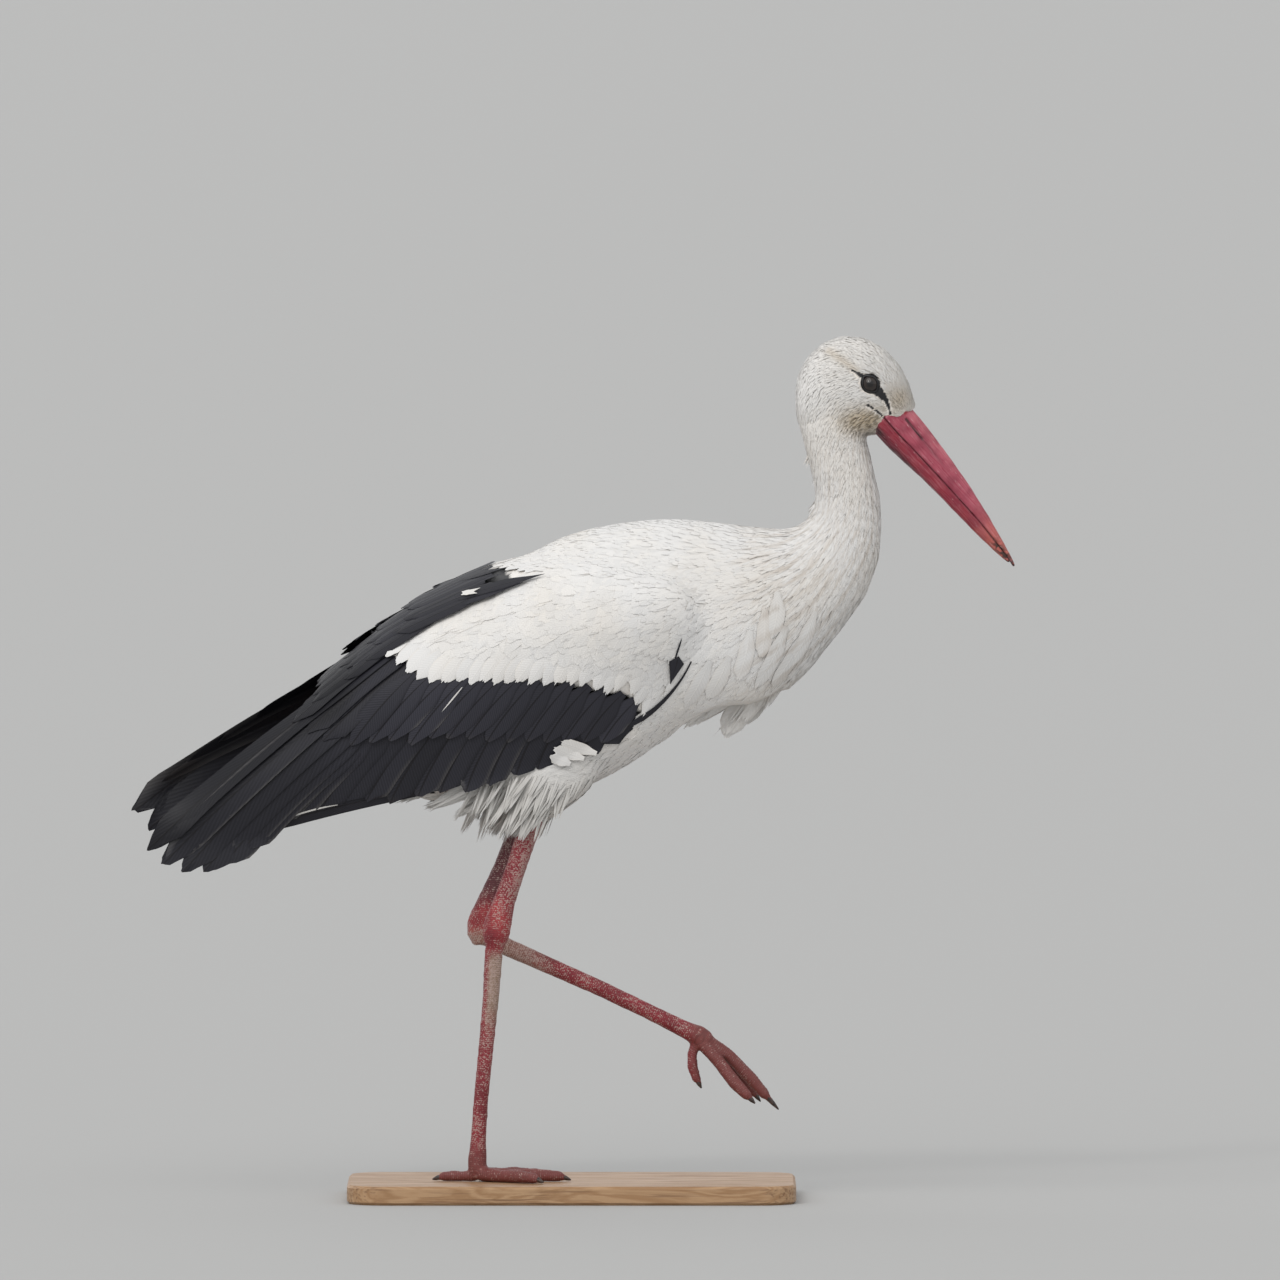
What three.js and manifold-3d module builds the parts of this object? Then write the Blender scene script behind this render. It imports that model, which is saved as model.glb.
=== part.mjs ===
// A white stork at life size, walking: it stands on its right leg with the left leg lifted forward,
// on a plain flat base. Millimetres, +Z up. The bird faces +X and its right side is at -Y.
// The origin is at the middle of the underside of the base.

import * as THREE from 'three';
import { mergeVertices } from 'three/addons/utils/BufferGeometryUtils.js';
import Module from 'manifold-3d';

const wasm = await Module();
wasm.setup();

// ---- Driving dimensions ----

const GAP = 0.3; // clearance where one piece is cut to fit its neighbour
const WING_GAP = 0.5; // clearance between the curved shell of a wing and the body
const CUT = 0.4; // width of the thin cuts that part the body and the wings
const WELD = 1e-4; // vertices closer than this are one
const REACH = 220; // a wing is cut by prisms this deep, more than half the body's width

const BASE = { length: 430, width: 240, height: 18, corner: 34, edge: 2.5 };
const BASE_CORNER_STRIPS = 4;

// Body, from the tail coverts to the inside of the head. Each row is one cross-section:
// x and z of its back edge, x and z of its front edge, half its width, and its squareness.
const BODY = [
  [-224, 444, -224, 414, 17, 2],
  [-172, 488, -172, 394, 35, 2],
  [-136, 528, -131, 381, 51, 2],
  [-98, 562, -88, 384, 66, 2.1],
  [-59, 604, -42, 385, 76, 2.2],
  [-11, 634, 8, 394, 80, 2.2],
  [46, 648, 60, 421, 80, 2.2],
  [99, 652, 111, 454, 75, 2.1],
  [147, 648, 182, 466, 64, 2],
  [181, 644, 226, 506, 52, 2],
  [205, 642, 257, 545, 41, 2],
  [219, 646, 282, 579, 34, 2],
  [230, 656, 294, 613, 30, 2],
  [235, 670, 297, 647, 28.5, 2],
  [234, 683, 295, 676, 28, 2],
  [230, 700, 289, 700, 27, 2],
  [225, 719, 285, 721, 26, 2],
  [219, 743, 279, 743, 25, 2],
  [222, 766, 275, 766, 23, 2],
];
const BODY_STEP = 34; // about the distance between two rings of the body
const BODY_SIDES = 20;

// Head, from the nape to the root of the bill, in rows like those of the body.
const HEAD = [
  [215, 778, 215, 756, 9, 2],
  [217.5, 792, 217, 744, 17, 2],
  [226, 808, 224, 732, 22.5, 2],
  [241, 822, 240, 728, 25.5, 2.1],
  [259, 829, 258, 727, 26.5, 2.1],
  [281, 827, 275, 732, 26, 2.1],
  [300, 817, 285, 733, 24, 2.1],
  [314.5, 802, 291, 732.5, 21, 2],
  [324, 783, 296, 732, 18.5, 2],
  [331, 759, 301, 731, 16, 2],
];
const HEAD_STEP = 14;
const HEAD_SIDES = 16;

const EYE = { x: 286, z: 783, y: 18.6, radius: 9.2, around: 14, down: 7 };

// Bill. It runs from ROOT towards TIP, and each row is: distance along it, height of the ridge,
// of the mouth line and of the lower edge above that line, and half the width.
const BILL_ROOT = [308.4, 740];
const BILL_TIP = [423.6, 607.5];
const BILL = [
  [-9, 19, 0, -10, 10],
  [0, 26, 0, -16.4, 14],
  [12, 25.8, 0.3, -15.8, 13.4],
  [28, 24.8, 1.3, -14, 12.1],
  [58, 22.5, 2.4, -10.4, 9.8],
  [91, 18.9, 3.2, -8.3, 7.8],
  [124, 13.5, 3.7, -6.5, 5.9],
  [147, 8.9, 2.6, -4.7, 4.6],
  [163, 5.6, 1.9, -2.6, 3.4],
];
const BILL_UPPER_END = [176.5, 1.8, -0.5, 0, 1.2];
const BILL_LOWER_END = [170, 0, 0.4, -1.1, 1.5];
const BILL_ARCH = 7; // strips over the arch of each half
const BILL_STEP = 27;
const BILL_ROUNDING = { across: 0.8, up: 0.85 }; // under 1 is fuller than an ellipse
const MOUTH_GAP = 0.5;
// Fills the mouth gap where the root of the bill sits in the head (x, z), this wide.
const BILL_SOCKET = [[295, 745], [300, 760], [330, 735], [315, 728]];
const BILL_SOCKET_WIDTH = 12;

// Plumes that hang from the breast: x and z of root and tip, half width at the root in the
// side view and across the bird.
const PLUMES = [
  [170, 512, 141.5, 446, 17, 30],
  [132, 492, 113, 452, 13, 30],
];
// How a plume narrows: share of its length, share of its depth, share of its width.
const PLUME_TAPER = [[0, 1, 1], [0.45, 0.8, 0.75], [0.8, 0.42, 0.4], [1, 0.1, 0.12]];

// Folded wing, from the wrist to near the tips of the long inner feathers. Each row: x, z of the
// upper edge, z of the lower edge, y of each edge, the half width of the bird there, thickness.
const WING = [
  [125, 555, 546, 73, 72, 74, 4],
  [120, 568, 535, 75, 73, 79, 10],
  [110, 588, 511, 74, 69, 87, 13],
  [94, 604, 487, 67, 63, 92, 15],
  [66, 613, 464, 57, 62, 97, 16],
  [27, 621, 439, 45, 64, 101, 16],
  [-11, 627, 425, 22, 64, 101, 15],
  [-69, 614, 408, 1, 60, 96, 14],
  [-117, 593, 396, 1, 54, 87, 12],
  [-165, 566, 385, 1, 48, 76, 10],
  [-213, 524, 375, 1, 43, 65, 8.5],
  [-261, 484, 362, 1, 38, 54, 7],
  [-309, 447, 349, 1, 33, 44, 6],
  [-345, 414, 341, 1, 29, 36, 5],
  [-388, 371, 339, 6, 25, 28, 3.5],
];
const WING_ACROSS = 6; // strips across the wing
const WRIST_ROOM = 4; // times the usual clearance in front of the steep wrist
const WING_EDGE = 0.3; // thickness of the edges as a share of the middle's
const SHOULDER_ROUNDING = 0.6; // under 1 rounds the back, where the wing turns over it
const WING_CROWDING = 1.4; // over 1 sets the strips closer at the upper edge
const WING_STEP = 40;

// Tips of the long inner wing feathers: x and z of the tip and of the place where the feather
// leaves the wing, from the lowest to the one that overlies them all.
const TIPS = [
  [-336, 326, -270, 392],
  [-361, 320, -290, 390],
  [-383, 324.5, -306, 392],
  [-399, 329, -318, 398],
  [-411, 333, -328, 404],
  [-412, 347, -338, 410],
];
const TIP = { halfWidth: 10.5, thickness: 2.2, stack: 0.9, nearY: 25, slope: 0.12, farX: -400 };
// Outline of such a tip in shares of its length and half width: root, widest place, turn of the end.
const TIP_OUTLINE = { root: [0, 0.7], widest: [0.72, 1], turn: [0.95, 0.8] };
const TIP_CURVE = 3; // strips along each side of the rounded end

// The left wing is carried higher behind than the right one, and reaches further back.
const LEFT_LIFT = { rise: 32, reach: 14, from: -165, length: 225 };
const RIGHT_LIFT = { rise: 0, reach: 0, from: -165, length: 225 };

// Where the feather groups of a wing part, as lines in the side view (x, z).
const TERTIAL_HEAD = [-182, 528];
const COVERT_FOOT = [-251, 442];
const STRIP_HEAD = [-20, 442];
const FAN_FOOT = [-335, 358];
const SCAPULAR_EDGE = [[-26, 680], [-30, 597], [-78, 577], [-117, 570], [-165, 540], TERTIAL_HEAD];
const SCAPULAR_END = [TERTIAL_HEAD, [-222, 585]];
const WHITE_EDGE = [TERTIAL_HEAD, [-155, 506], [-136, 498], [-11, 497], [30, 489], [54, 486], [68, 420]];
const TERTIAL_EDGE = [TERTIAL_HEAD, [-222, 482], COVERT_FOOT];
const COVERT_EDGE = [COVERT_FOOT, [-218, 438], [-165, 441], [-107, 445], [-54, 441], STRIP_HEAD];
const COVERT_END = [STRIP_HEAD, [27, 437], [44, 400]];
const FAN_EDGE = [COVERT_FOOT, FAN_FOOT, [-352, 280]];
const STRIP_EDGE = [STRIP_HEAD, [-54, 425], [-194, 392], [-308, 361], FAN_FOOT];

// Tail, a closed fan of white feathers under the wings: x, z, half width, half thickness.
const TAIL = [
  [-150, 447, 22, 7],
  [-205, 434, 27, 5.5],
  [-262, 416, 28, 3.6],
  [-318, 394, 25, 2.2],
  [-352, 379, 19, 1.3],
];
const TAIL_SIDES = 12;
const TAIL_STEP = 55;
const TAIL_DIP = 5; // how much lower the sides of the tail lie than its middle

// Legs. Each row: x, y, z, and the radius in the side view and across.
const LEG_Y = 35;
const RIGHT_THIGH = [
  [-8, -43, 440, 46, 25],
  [-19, -42, 410, 40, 25],
  [-34, -39, 386, 28, 20],
  [-44, -36.5, 369, 18, 15],
  [-46, -36, 361, 13, 12],
];
const LEFT_THIGH = [
  [-12, 43, 440, 46, 25],
  [-25, 42, 410, 40, 25],
  [-39, 39, 386, 30, 20],
  [-48, 36.5, 369, 19, 15],
  [-51, 36, 360, 13, 12],
];
const RIGHT_SHANK = [
  [-33, -LEG_Y, 380, 10, 9],
  [-40, -LEG_Y, 360, 10.5, 9],
  [-53, -LEG_Y, 320, 9.4, 8.2],
  [-65, -LEG_Y, 286, 10.5, 9],
  [-71, -LEG_Y, 265, 13.3, 11.2],
  [-73, -LEG_Y, 253, 12.6, 10.8],
  [-74, -LEG_Y, 244, 8.5, 8],
];
const RIGHT_TARSUS = [
  [-72.5, -LEG_Y, 257, 8, 7],
  [-75, -LEG_Y, 234, 8.6, 7.2],
  [-77.5, -LEG_Y, 194, 7.7, 6.5],
  [-82.3, -LEG_Y, 145, 7.1, 6],
  [-87, -LEG_Y, 97, 6.9, 6],
  [-89.5, -LEG_Y, 58, 7.2, 6.6],
  [-90.5, -LEG_Y, 38, 9, 8.6],
  [-90.5, -LEG_Y, 28, 8.4, 9],
  [-90, -LEG_Y, 20.5, 6, 7],
];
const LEFT_SHANK = [
  [-39, LEG_Y, 380, 10, 9],
  [-48, LEG_Y, 358, 10.5, 9],
  [-66, LEG_Y, 316, 9.4, 8.2],
  [-80, LEG_Y, 284, 10.5, 9],
  [-87, LEG_Y, 264, 13.3, 11.2],
  [-88, LEG_Y, 253, 13, 11],
  [-86, LEG_Y, 243, 9, 8],
];
const LEFT_TARSUS = [
  [-88, LEG_Y, 251.5, 8, 7],
  [-63, LEG_Y, 240, 8.6, 7.2],
  [-26, LEG_Y, 223.5, 7.9, 6.6],
  [27, LEG_Y, 200, 7.5, 6.2],
  [75, LEG_Y, 177, 7.3, 6.2],
  [108, LEG_Y, 160.5, 8, 7],
  [121, LEG_Y, 154.5, 10, 9],
  [129, LEG_Y, 150, 9, 9],
  [133, LEG_Y, 146, 5, 6],
];
const LEG_SIDES = 10;
const LEG_STEP = 45;

// Toes of the standing foot: heading in degrees from straight ahead, length without the claw.
const STANDING_TOES = {
  middle: { heading: -3, length: 80 },
  inner: { heading: 31, length: 62 },
  outer: { heading: -35, length: 68 },
  hind: { heading: 172, length: 34 },
};
const STANDING_FOOT = [-90.5, -LEG_Y];

// Toes of the lifted foot: three points (x, y, z) each, then the point of the claw.
const LIFTED_TOES = {
  middle: [[126, 35, 152], [151, 37, 135], [172, 38, 113], [186, 38, 97], [203, 38, 79]],
  inner: [[125, 33, 148], [142, 27, 128.5], [157, 21, 109], [169, 17, 97], [178, 15, 88]],
  outer: [[126, 38, 150], [146, 47, 131], [162, 54, 112], [174, 58, 99], [184, 60, 87]],
  hind: [[121, 35, 150], [115.5, 34, 137], [116, 33, 124], [120, 33, 112], [125, 33, 101]],
};
const TOE_RADII = [7, 6, 6.3, 5]; // along a front toe, with its knuckles
const HIND_RADII = [5.6, 4.6, 5, 4.2];
const TOE_SHARES = [0.06, 0.4, 0.7, 1]; // where those radii lie along a standing toe
const TOE_NOSE = 0.55; // the end of a toe narrows to this share over this share of its radius
const TOE_SIDES = 6;
const TOE_STEP = 24;
// A claw: radii, length, how deep it starts in the toe, where it bends, and how flat it is.
const CLAW = { root: 3.6, middle: 2.6, tip: 0.9, length: 13, inset: 5, bend: 0.55, flat: 1.1, lift: 0.3 };
const CLAW_SIDES = 5;
const CLAW_STEP = 14;

const LOOKS = {
  white: { color: 0xe9e6df, roughness: 0.9, metalness: 0 },
  black: { color: 0x24242a, roughness: 0.7, metalness: 0 },
  bill: { color: 0xb84a4c, roughness: 0.45, metalness: 0 },
  leg: { color: 0xb03a38, roughness: 0.6, metalness: 0 },
  eye: { color: 0x140f0e, roughness: 0.1, metalness: 0 },
  claw: { color: 0x2c2523, roughness: 0.5, metalness: 0 },
  wood: { color: 0xcbb48f, roughness: 0.6, metalness: 0 },
};

// ---- Shapes ----

// A column of a table, read smoothly at place t, which is counted in rows.
function smooth(rows, column, t) {
  const last = rows.length - 1;
  const i = Math.min(Math.floor(t), last - 1);
  const u = t - i;
  const [a, b, c, d] = [-1, 0, 1, 2].map((k) => rows[Math.max(0, Math.min(last, i + k))][column]);
  const bend = (c - a) + u * (2 * a - 5 * b + 4 * c - d + u * (3 * b - a - 3 * c + d));
  return b + 0.5 * u * bend;
}

// A table read at places about one step apart, the distance between rows being given.
function resample(rows, step, distance) {
  const result = [];
  for (let i = 0; i < rows.length - 1; i += 1) {
    const parts = Math.max(1, Math.round(distance(rows[i], rows[i + 1]) / step));
    for (let k = 0; k < parts; k += 1) {
      result.push(rows[0].map((_, column) => smooth(rows, column, i + k / parts)));
    }
  }
  result.push(rows[rows.length - 1]);
  return result;
}

function volumeOf(positions, faces) {
  let sum = 0;
  for (let f = 0; f < faces.length; f += 3) {
    const [a, b, c] = [0, 1, 2].map((k) => positions[faces[f + k]]);
    sum += a.dot(b.clone().cross(c)) / 6;
  }
  return sum;
}

// A closed geometry through rings of equally many points, with a fan over each end.
function loft(rings) {
  const sides = rings[0].length;
  const positions = rings.flat();
  const faces = [];
  for (let r = 0; r < rings.length - 1; r += 1) {
    for (let k = 0; k < sides; k += 1) {
      const a = r * sides + k;
      const b = r * sides + (k + 1) % sides;
      faces.push(a, b, b + sides, a, b + sides, a + sides);
    }
  }
  for (const r of [0, rings.length - 1]) {
    const middle = rings[r].reduce((sum, p) => sum.add(p), new THREE.Vector3()).divideScalar(sides);
    const hub = positions.push(middle) - 1;
    for (let k = 0; k < sides; k += 1) {
      const a = r * sides + k;
      const b = r * sides + (k + 1) % sides;
      faces.push(...(r === 0 ? [hub, b, a] : [hub, a, b]));
    }
  }
  if (volumeOf(positions, faces) < 0) {
    faces.reverse();
  }
  const geometry = new THREE.BufferGeometry().setFromPoints(positions);
  geometry.setIndex(faces);
  return geometry;
}

function solid(geometry) {
  const bare = geometry.clone();
  bare.deleteAttribute('normal');
  bare.deleteAttribute('uv');
  const merged = mergeVertices(bare, WELD);
  const vertProperties = new Float32Array(merged.getAttribute('position').array);
  const triVerts = new Uint32Array(merged.index.array);
  return new wasm.Manifold(new wasm.Mesh({ numProp: 3, vertProperties, triVerts }));
}

function signedPower(value, power) {
  return Math.sign(value) * Math.abs(value) ** power;
}

// One ring of a body or head section: a squared ellipse across the line from back to front.
function sectionRing([backX, backZ, frontX, frontZ, halfWidth, squareness], sides, grow) {
  const centre = new THREE.Vector3((backX + frontX) / 2, 0, (backZ + frontZ) / 2);
  const up = new THREE.Vector3(backX - frontX, 0, backZ - frontZ);
  const halfDepth = up.length() / 2 + grow;
  up.normalize();
  return Array.from({ length: sides }, (_, k) => {
    const angle = (2 * Math.PI * k) / sides;
    const across = signedPower(Math.cos(angle), 2 / squareness) * (halfWidth + grow);
    const along = signedPower(Math.sin(angle), 2 / squareness) * halfDepth;
    return centre.clone().addScaledVector(up, along).add(new THREE.Vector3(0, across, 0));
  });
}

function sectionLoft(rows, step, sides, grow = 0) {
  const middle = (row) => new THREE.Vector2((row[0] + row[2]) / 2, (row[1] + row[3]) / 2);
  const table = resample(rows, step, (a, b) => middle(a).distanceTo(middle(b)));
  return solid(loft(table.map((row) => sectionRing(row, sides, grow))));
}

// A limb along a path: each row holds x, y, z, the radius in the plane of the path and across it.
const SIDEWAYS = new THREE.Vector3(0, 1, 0);

function limb(rows, { sides = LEG_SIDES, step = LEG_STEP, grow = 0, across = SIDEWAYS } = {}) {
  const place = (row) => new THREE.Vector3(row[0], row[1], row[2]);
  const table = resample(rows, step, (a, b) => place(a).distanceTo(place(b)));
  const rings = table.map((row, i) => {
    const before = place(table[Math.max(0, i - 1)]);
    const after = place(table[Math.min(table.length - 1, i + 1)]);
    const along = after.sub(before).normalize();
    const side = across.clone().addScaledVector(along, -across.dot(along)).normalize();
    const normal = along.clone().cross(side);
    const isEnd = i === 0 || i === table.length - 1;
    const push = isEnd ? grow * (i === 0 ? -1 : 1) : 0;
    const centre = place(row).addScaledVector(along, push);
    return Array.from({ length: sides }, (_, k) => {
      const angle = (2 * Math.PI * k) / sides;
      const inPlane = Math.cos(angle) * (row[3] + grow);
      const sideways = Math.sin(angle) * (row[4] + grow);
      return centre.clone().addScaledVector(normal, inPlane).addScaledVector(side, sideways);
    });
  });
  return solid(loft(rings));
}

// A prism over an outline in the side view, from the middle plane out to the bird's right.
function prism(outline, depth = REACH, middle = false) {
  const shape = new THREE.Shape(outline.map(([x, z]) => new THREE.Vector2(x, z)));
  const geometry = new THREE.ExtrudeGeometry(shape, { depth, bevelEnabled: false });
  geometry.rotateX(Math.PI / 2);
  if (middle) {
    geometry.translate(0, depth / 2, 0);
  }
  return solid(geometry);
}

// A thin upright wall along a line in the side view.
function wall(line, depth, middle) {
  const points = line.map(([x, z]) => new THREE.Vector2(x, z));
  const sideways = points.map((_, i) => {
    const before = points[Math.max(0, i - 1)];
    const after = points[Math.min(points.length - 1, i + 1)];
    const along = after.clone().sub(before).normalize();
    return new THREE.Vector2(-along.y, along.x).multiplyScalar(CUT / 2);
  });
  const left = points.map((p, i) => p.clone().add(sideways[i]).toArray());
  const right = points.map((p, i) => p.clone().sub(sideways[i]).toArray());
  return prism([...left, ...right.reverse()], depth, middle);
}

function union(solids) {
  return solids.reduce((sum, next) => sum.add(next));
}

function without(piece, ...others) {
  return others.reduce((rest, other) => rest.subtract(other), piece);
}

// The separate bodies of a solid that has been cut, the largest first.
function bodies(piece) {
  return piece.decompose().sort((a, b) => b.volume() - a.volume());
}

function boundsMiddle(piece, axis) {
  const box = piece.boundingBox();
  return (box.min[axis] + box.max[axis]) / 2;
}

// ---- Wings ----

// How a point of a wing moves when the wing is carried higher behind.
function lifted([x, z], lift) {
  const share = Math.max(0, (lift.from - x) / lift.length);
  return [x - lift.reach * share, z + lift.rise * share];
}

function wingRing([x, topZ, lowZ, topY, lowY, halfWidth, thickness], grow, lift) {
  const middleShare = Math.sin(Math.PI * 0.5 ** SHOULDER_ROUNDING);
  const bulge = (halfWidth - (topY + lowY) / 2) / middleShare;
  const outer = (s) => {
    const out = topY + (lowY - topY) * s + bulge * Math.sin(Math.PI * s ** SHOULDER_ROUNDING);
    return new THREE.Vector2(-out, topZ + (lowZ - topZ) * s);
  };
  const nudge = 0.004; // how far apart two points of the outline are read for its direction
  const outside = [];
  const inside = [];
  for (let k = 0; k <= WING_ACROSS; k += 1) {
    const s = (k / WING_ACROSS) ** WING_CROWDING;
    const before = outer(Math.max(0, s - nudge));
    const after = outer(Math.min(1, s + nudge));
    const along = after.sub(before).normalize();
    const inward = new THREE.Vector2(-along.y, along.x);
    const body = WING_EDGE + (1 - WING_EDGE) * (1 - Math.abs(2 * (k / WING_ACROSS) - 1) ** 3);
    const edge = k === 0 ? -grow : (k === WING_ACROSS ? grow : 0);
    const skin = outer(s).addScaledVector(along, edge);
    outside.push(skin.clone().addScaledVector(inward, -grow));
    inside.push(skin.clone().addScaledVector(inward, thickness * body + grow));
  }
  return [...outside, ...inside.reverse()].map((p) => {
    const [liftedX, liftedZ] = lifted([x, p.y], lift);
    return new THREE.Vector3(liftedX, Math.min(p.x, -0.5 + grow), liftedZ);
  });
}

function wingShell(lift, grow = 0) {
  const table = resample(WING, WING_STEP, (a, b) => Math.abs(a[0] - b[0]));
  table[0][0] += WRIST_ROOM * grow;
  table[table.length - 1][0] -= grow;
  return solid(loft(table.map((row) => wingRing(row, grow, lift))));
}

// The end of one long wing feather: a flat blade with a rounded point.
function featherTip([tipX, tipZ, rootX, rootZ], index, lift) {
  const tip = new THREE.Vector2(...lifted([tipX, tipZ], lift));
  const root = new THREE.Vector2(...lifted([rootX, rootZ], lift));
  const along = tip.clone().sub(root);
  const side = new THREE.Vector2(-along.y, along.x).normalize();
  const point = ([share, out], sign) => root.clone().addScaledVector(along, share)
    .addScaledVector(side, sign * out * TIP.halfWidth).toArray();
  const shape = new THREE.Shape();
  shape.moveTo(...point(TIP_OUTLINE.root, 1));
  shape.lineTo(...point(TIP_OUTLINE.widest, 1));
  shape.quadraticCurveTo(...point(TIP_OUTLINE.turn, 1), ...tip.toArray());
  shape.quadraticCurveTo(...point(TIP_OUTLINE.turn, -1), ...point(TIP_OUTLINE.widest, -1));
  shape.lineTo(...point(TIP_OUTLINE.root, -1));
  const geometry = new THREE.ExtrudeGeometry(shape, {
    depth: TIP.thickness, bevelEnabled: false, curveSegments: TIP_CURVE,
  });
  geometry.rotateX(Math.PI / 2);
  const place = geometry.getAttribute('position');
  for (let i = 0; i < place.count; i += 1) {
    const out = TIP.nearY + TIP.slope * (place.getX(i) - TIP.farX) + index * TIP.stack;
    place.setY(i, place.getY(i) - out);
  }
  return solid(geometry);
}

// The parts of the right wing's surface, as outlines in the side view that share their cuts.
const FAR_FRONT = 220;
const FAR_BACK = -520;
const HIGH = 680;
const LOW = 280;
const WING_PARTS = {
  scapulars: [...SCAPULAR_EDGE, ...SCAPULAR_END.slice(1), [-222, HIGH]],
  coverts: [...SCAPULAR_EDGE, ...WHITE_EDGE.slice(1), [FAR_FRONT, 420], [FAR_FRONT, HIGH]],
  greater_coverts: [
    ...WHITE_EDGE, ...COVERT_END.slice().reverse(),
    ...COVERT_EDGE.slice(0, -1).reverse(), TERTIAL_EDGE[1],
  ],
  tertials: [
    SCAPULAR_END[1], ...TERTIAL_EDGE, ...FAN_EDGE.slice(1), [FAR_BACK, LOW], [FAR_BACK, SCAPULAR_END[1][1]],
  ],
  secondaries: [...COVERT_EDGE, ...STRIP_EDGE.slice(1)],
  primaries: [...STRIP_EDGE.slice().reverse(), ...COVERT_END.slice(1), FAN_EDGE[2]],
};
const WING_CUTS = [
  SCAPULAR_EDGE, SCAPULAR_END, WHITE_EDGE, TERTIAL_EDGE, COVERT_EDGE, COVERT_END, FAN_EDGE, STRIP_EDGE,
];

// One wing as a bird's right wing: the whole for cutting its neighbours, and its parts by name.
function wing(lift) {
  const tips = union(TIPS.map((tip, index) => featherTip(tip, index, lift)));
  const whole = wingShell(lift).add(tips);
  const follow = (line) => line.map((point) => lifted(point, lift));
  const cut = without(whole, ...WING_CUTS.map((line) => wall(follow(line))));
  const parts = {};
  for (const [name, outline] of Object.entries(WING_PARTS)) {
    parts[name] = bodies(cut.intersect(prism(follow(outline))))[0];
  }
  return { parts, room: wingShell(lift, WING_GAP).add(tips) };
}

function mirrored(piece) {
  return piece.mirror([0, 1, 0]);
}

// ---- Head, bill and body ----

function billPoint(along, height, across) {
  const axis = new THREE.Vector2(BILL_TIP[0] - BILL_ROOT[0], BILL_TIP[1] - BILL_ROOT[1]).normalize();
  const x = BILL_ROOT[0] + axis.x * along - axis.y * height;
  const z = BILL_ROOT[1] + axis.y * along + axis.x * height;
  return new THREE.Vector3(x, across, z);
}

// One half of the bill: an arch from the mouth line up to the ridge, or down to the lower edge.
function billHalf(isUpper, grow = 0) {
  const rows = [...BILL, isUpper ? BILL_UPPER_END : BILL_LOWER_END];
  const table = resample(rows, BILL_STEP, (a, b) => Math.abs(a[0] - b[0]));
  table[0][0] -= grow;
  return solid(loft(table.map(([along, ridge, mouth, lower, halfWidth]) => {
    const base = mouth + (isUpper ? MOUTH_GAP / 2 : -MOUTH_GAP / 2);
    const rise = (isUpper ? ridge - base + grow : lower - base - grow);
    return Array.from({ length: BILL_ARCH + 1 }, (_, k) => {
      const angle = (Math.PI * k) / BILL_ARCH;
      const across = signedPower(Math.cos(angle), BILL_ROUNDING.across) * (halfWidth + grow);
      const height = base + rise * Math.sin(angle) ** BILL_ROUNDING.up;
      return billPoint(along, height, across);
    });
  })));
}

function eyeball(side, grow = 0) {
  const geometry = new THREE.SphereGeometry(EYE.radius + grow, EYE.around, EYE.down);
  geometry.translate(EYE.x, side * EYE.y, EYE.z);
  return solid(geometry);
}

function plume([rootX, rootZ, tipX, tipZ, halfDepth, halfWidth]) {
  return limb(PLUME_TAPER.map(([share, depth, width]) => [
    rootX + (tipX - rootX) * share, 0, rootZ + (tipZ - rootZ) * share,
    halfDepth * depth, halfWidth * width,
  ]));
}

// The places where the body is parted, as lines across it in the side view.
const NECK_CUTS = [
  [[196, 655], [262, 534]],
  [[222, 675], [312, 634]],
  [[216, 704], [304, 704]],
  [[206, 738], [296, 727]],
];
const BODY_NAMES = ['trunk', 'neck_lower', 'neck_middle', 'neck_upper', 'head'];

function flesh() {
  const trunkAndNeck = sectionLoft(BODY, BODY_STEP, BODY_SIDES);
  const head = sectionLoft(HEAD, HEAD_STEP, HEAD_SIDES);
  return union([trunkAndNeck, head, ...PLUMES.map(plume)]);
}

// ---- Legs ----

function standingToe({ heading, length }, radii) {
  const turn = (heading * Math.PI) / 180;
  const rows = TOE_SHARES.map((share, i) => [
    STANDING_FOOT[0] + Math.cos(turn) * length * share,
    STANDING_FOOT[1] + Math.sin(turn) * length * share,
    BASE.height + GAP + radii[i],
    radii[i], radii[i],
  ]);
  const clawReach = length + CLAW.length;
  const claw = [
    STANDING_FOOT[0] + Math.cos(turn) * clawReach,
    STANDING_FOOT[1] + Math.sin(turn) * clawReach,
    BASE.height + GAP + CLAW.tip + CLAW.lift,
  ];
  return { rows, claw, across: new THREE.Vector3(-Math.sin(turn), Math.cos(turn), 0) };
}

function liftedToe(points, radii) {
  const rows = points.slice(0, 4).map((point, i) => [...point, radii[i], radii[i]]);
  return { rows, claw: points[4], across: new THREE.Vector3(0, 1, 0) };
}

// A blunt claw that starts inside the end of its toe.
function clawSolid({ rows, claw, across }) {
  const end = new THREE.Vector3(...rows[3].slice(0, 3));
  const point = new THREE.Vector3(...claw);
  const along = point.clone().sub(end).normalize();
  const root = end.clone().addScaledVector(along, -CLAW.inset);
  const middle = end.clone().lerp(point, CLAW.bend);
  const width = (radius) => [radius, radius * CLAW.flat];
  const path = [
    [...root.toArray(), ...width(CLAW.root)],
    [...middle.toArray(), ...width(CLAW.middle)],
    [...point.toArray(), ...width(CLAW.tip)],
  ];
  return limb(path, { sides: CLAW_SIDES, step: CLAW_STEP, across });
}

function toeSolid({ rows, across }, grow = 0) {
  const end = rows[3];
  const before = new THREE.Vector3(...rows[2].slice(0, 3));
  const tip = new THREE.Vector3(...end.slice(0, 3));
  const along = tip.clone().sub(before).normalize();
  const nose = tip.clone().addScaledVector(along, end[3] * TOE_NOSE);
  const path = [...rows, [...nose.toArray(), end[3] * TOE_NOSE, end[4] * TOE_NOSE]];
  return limb(path, { sides: TOE_SIDES, step: TOE_STEP, grow, across });
}

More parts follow.
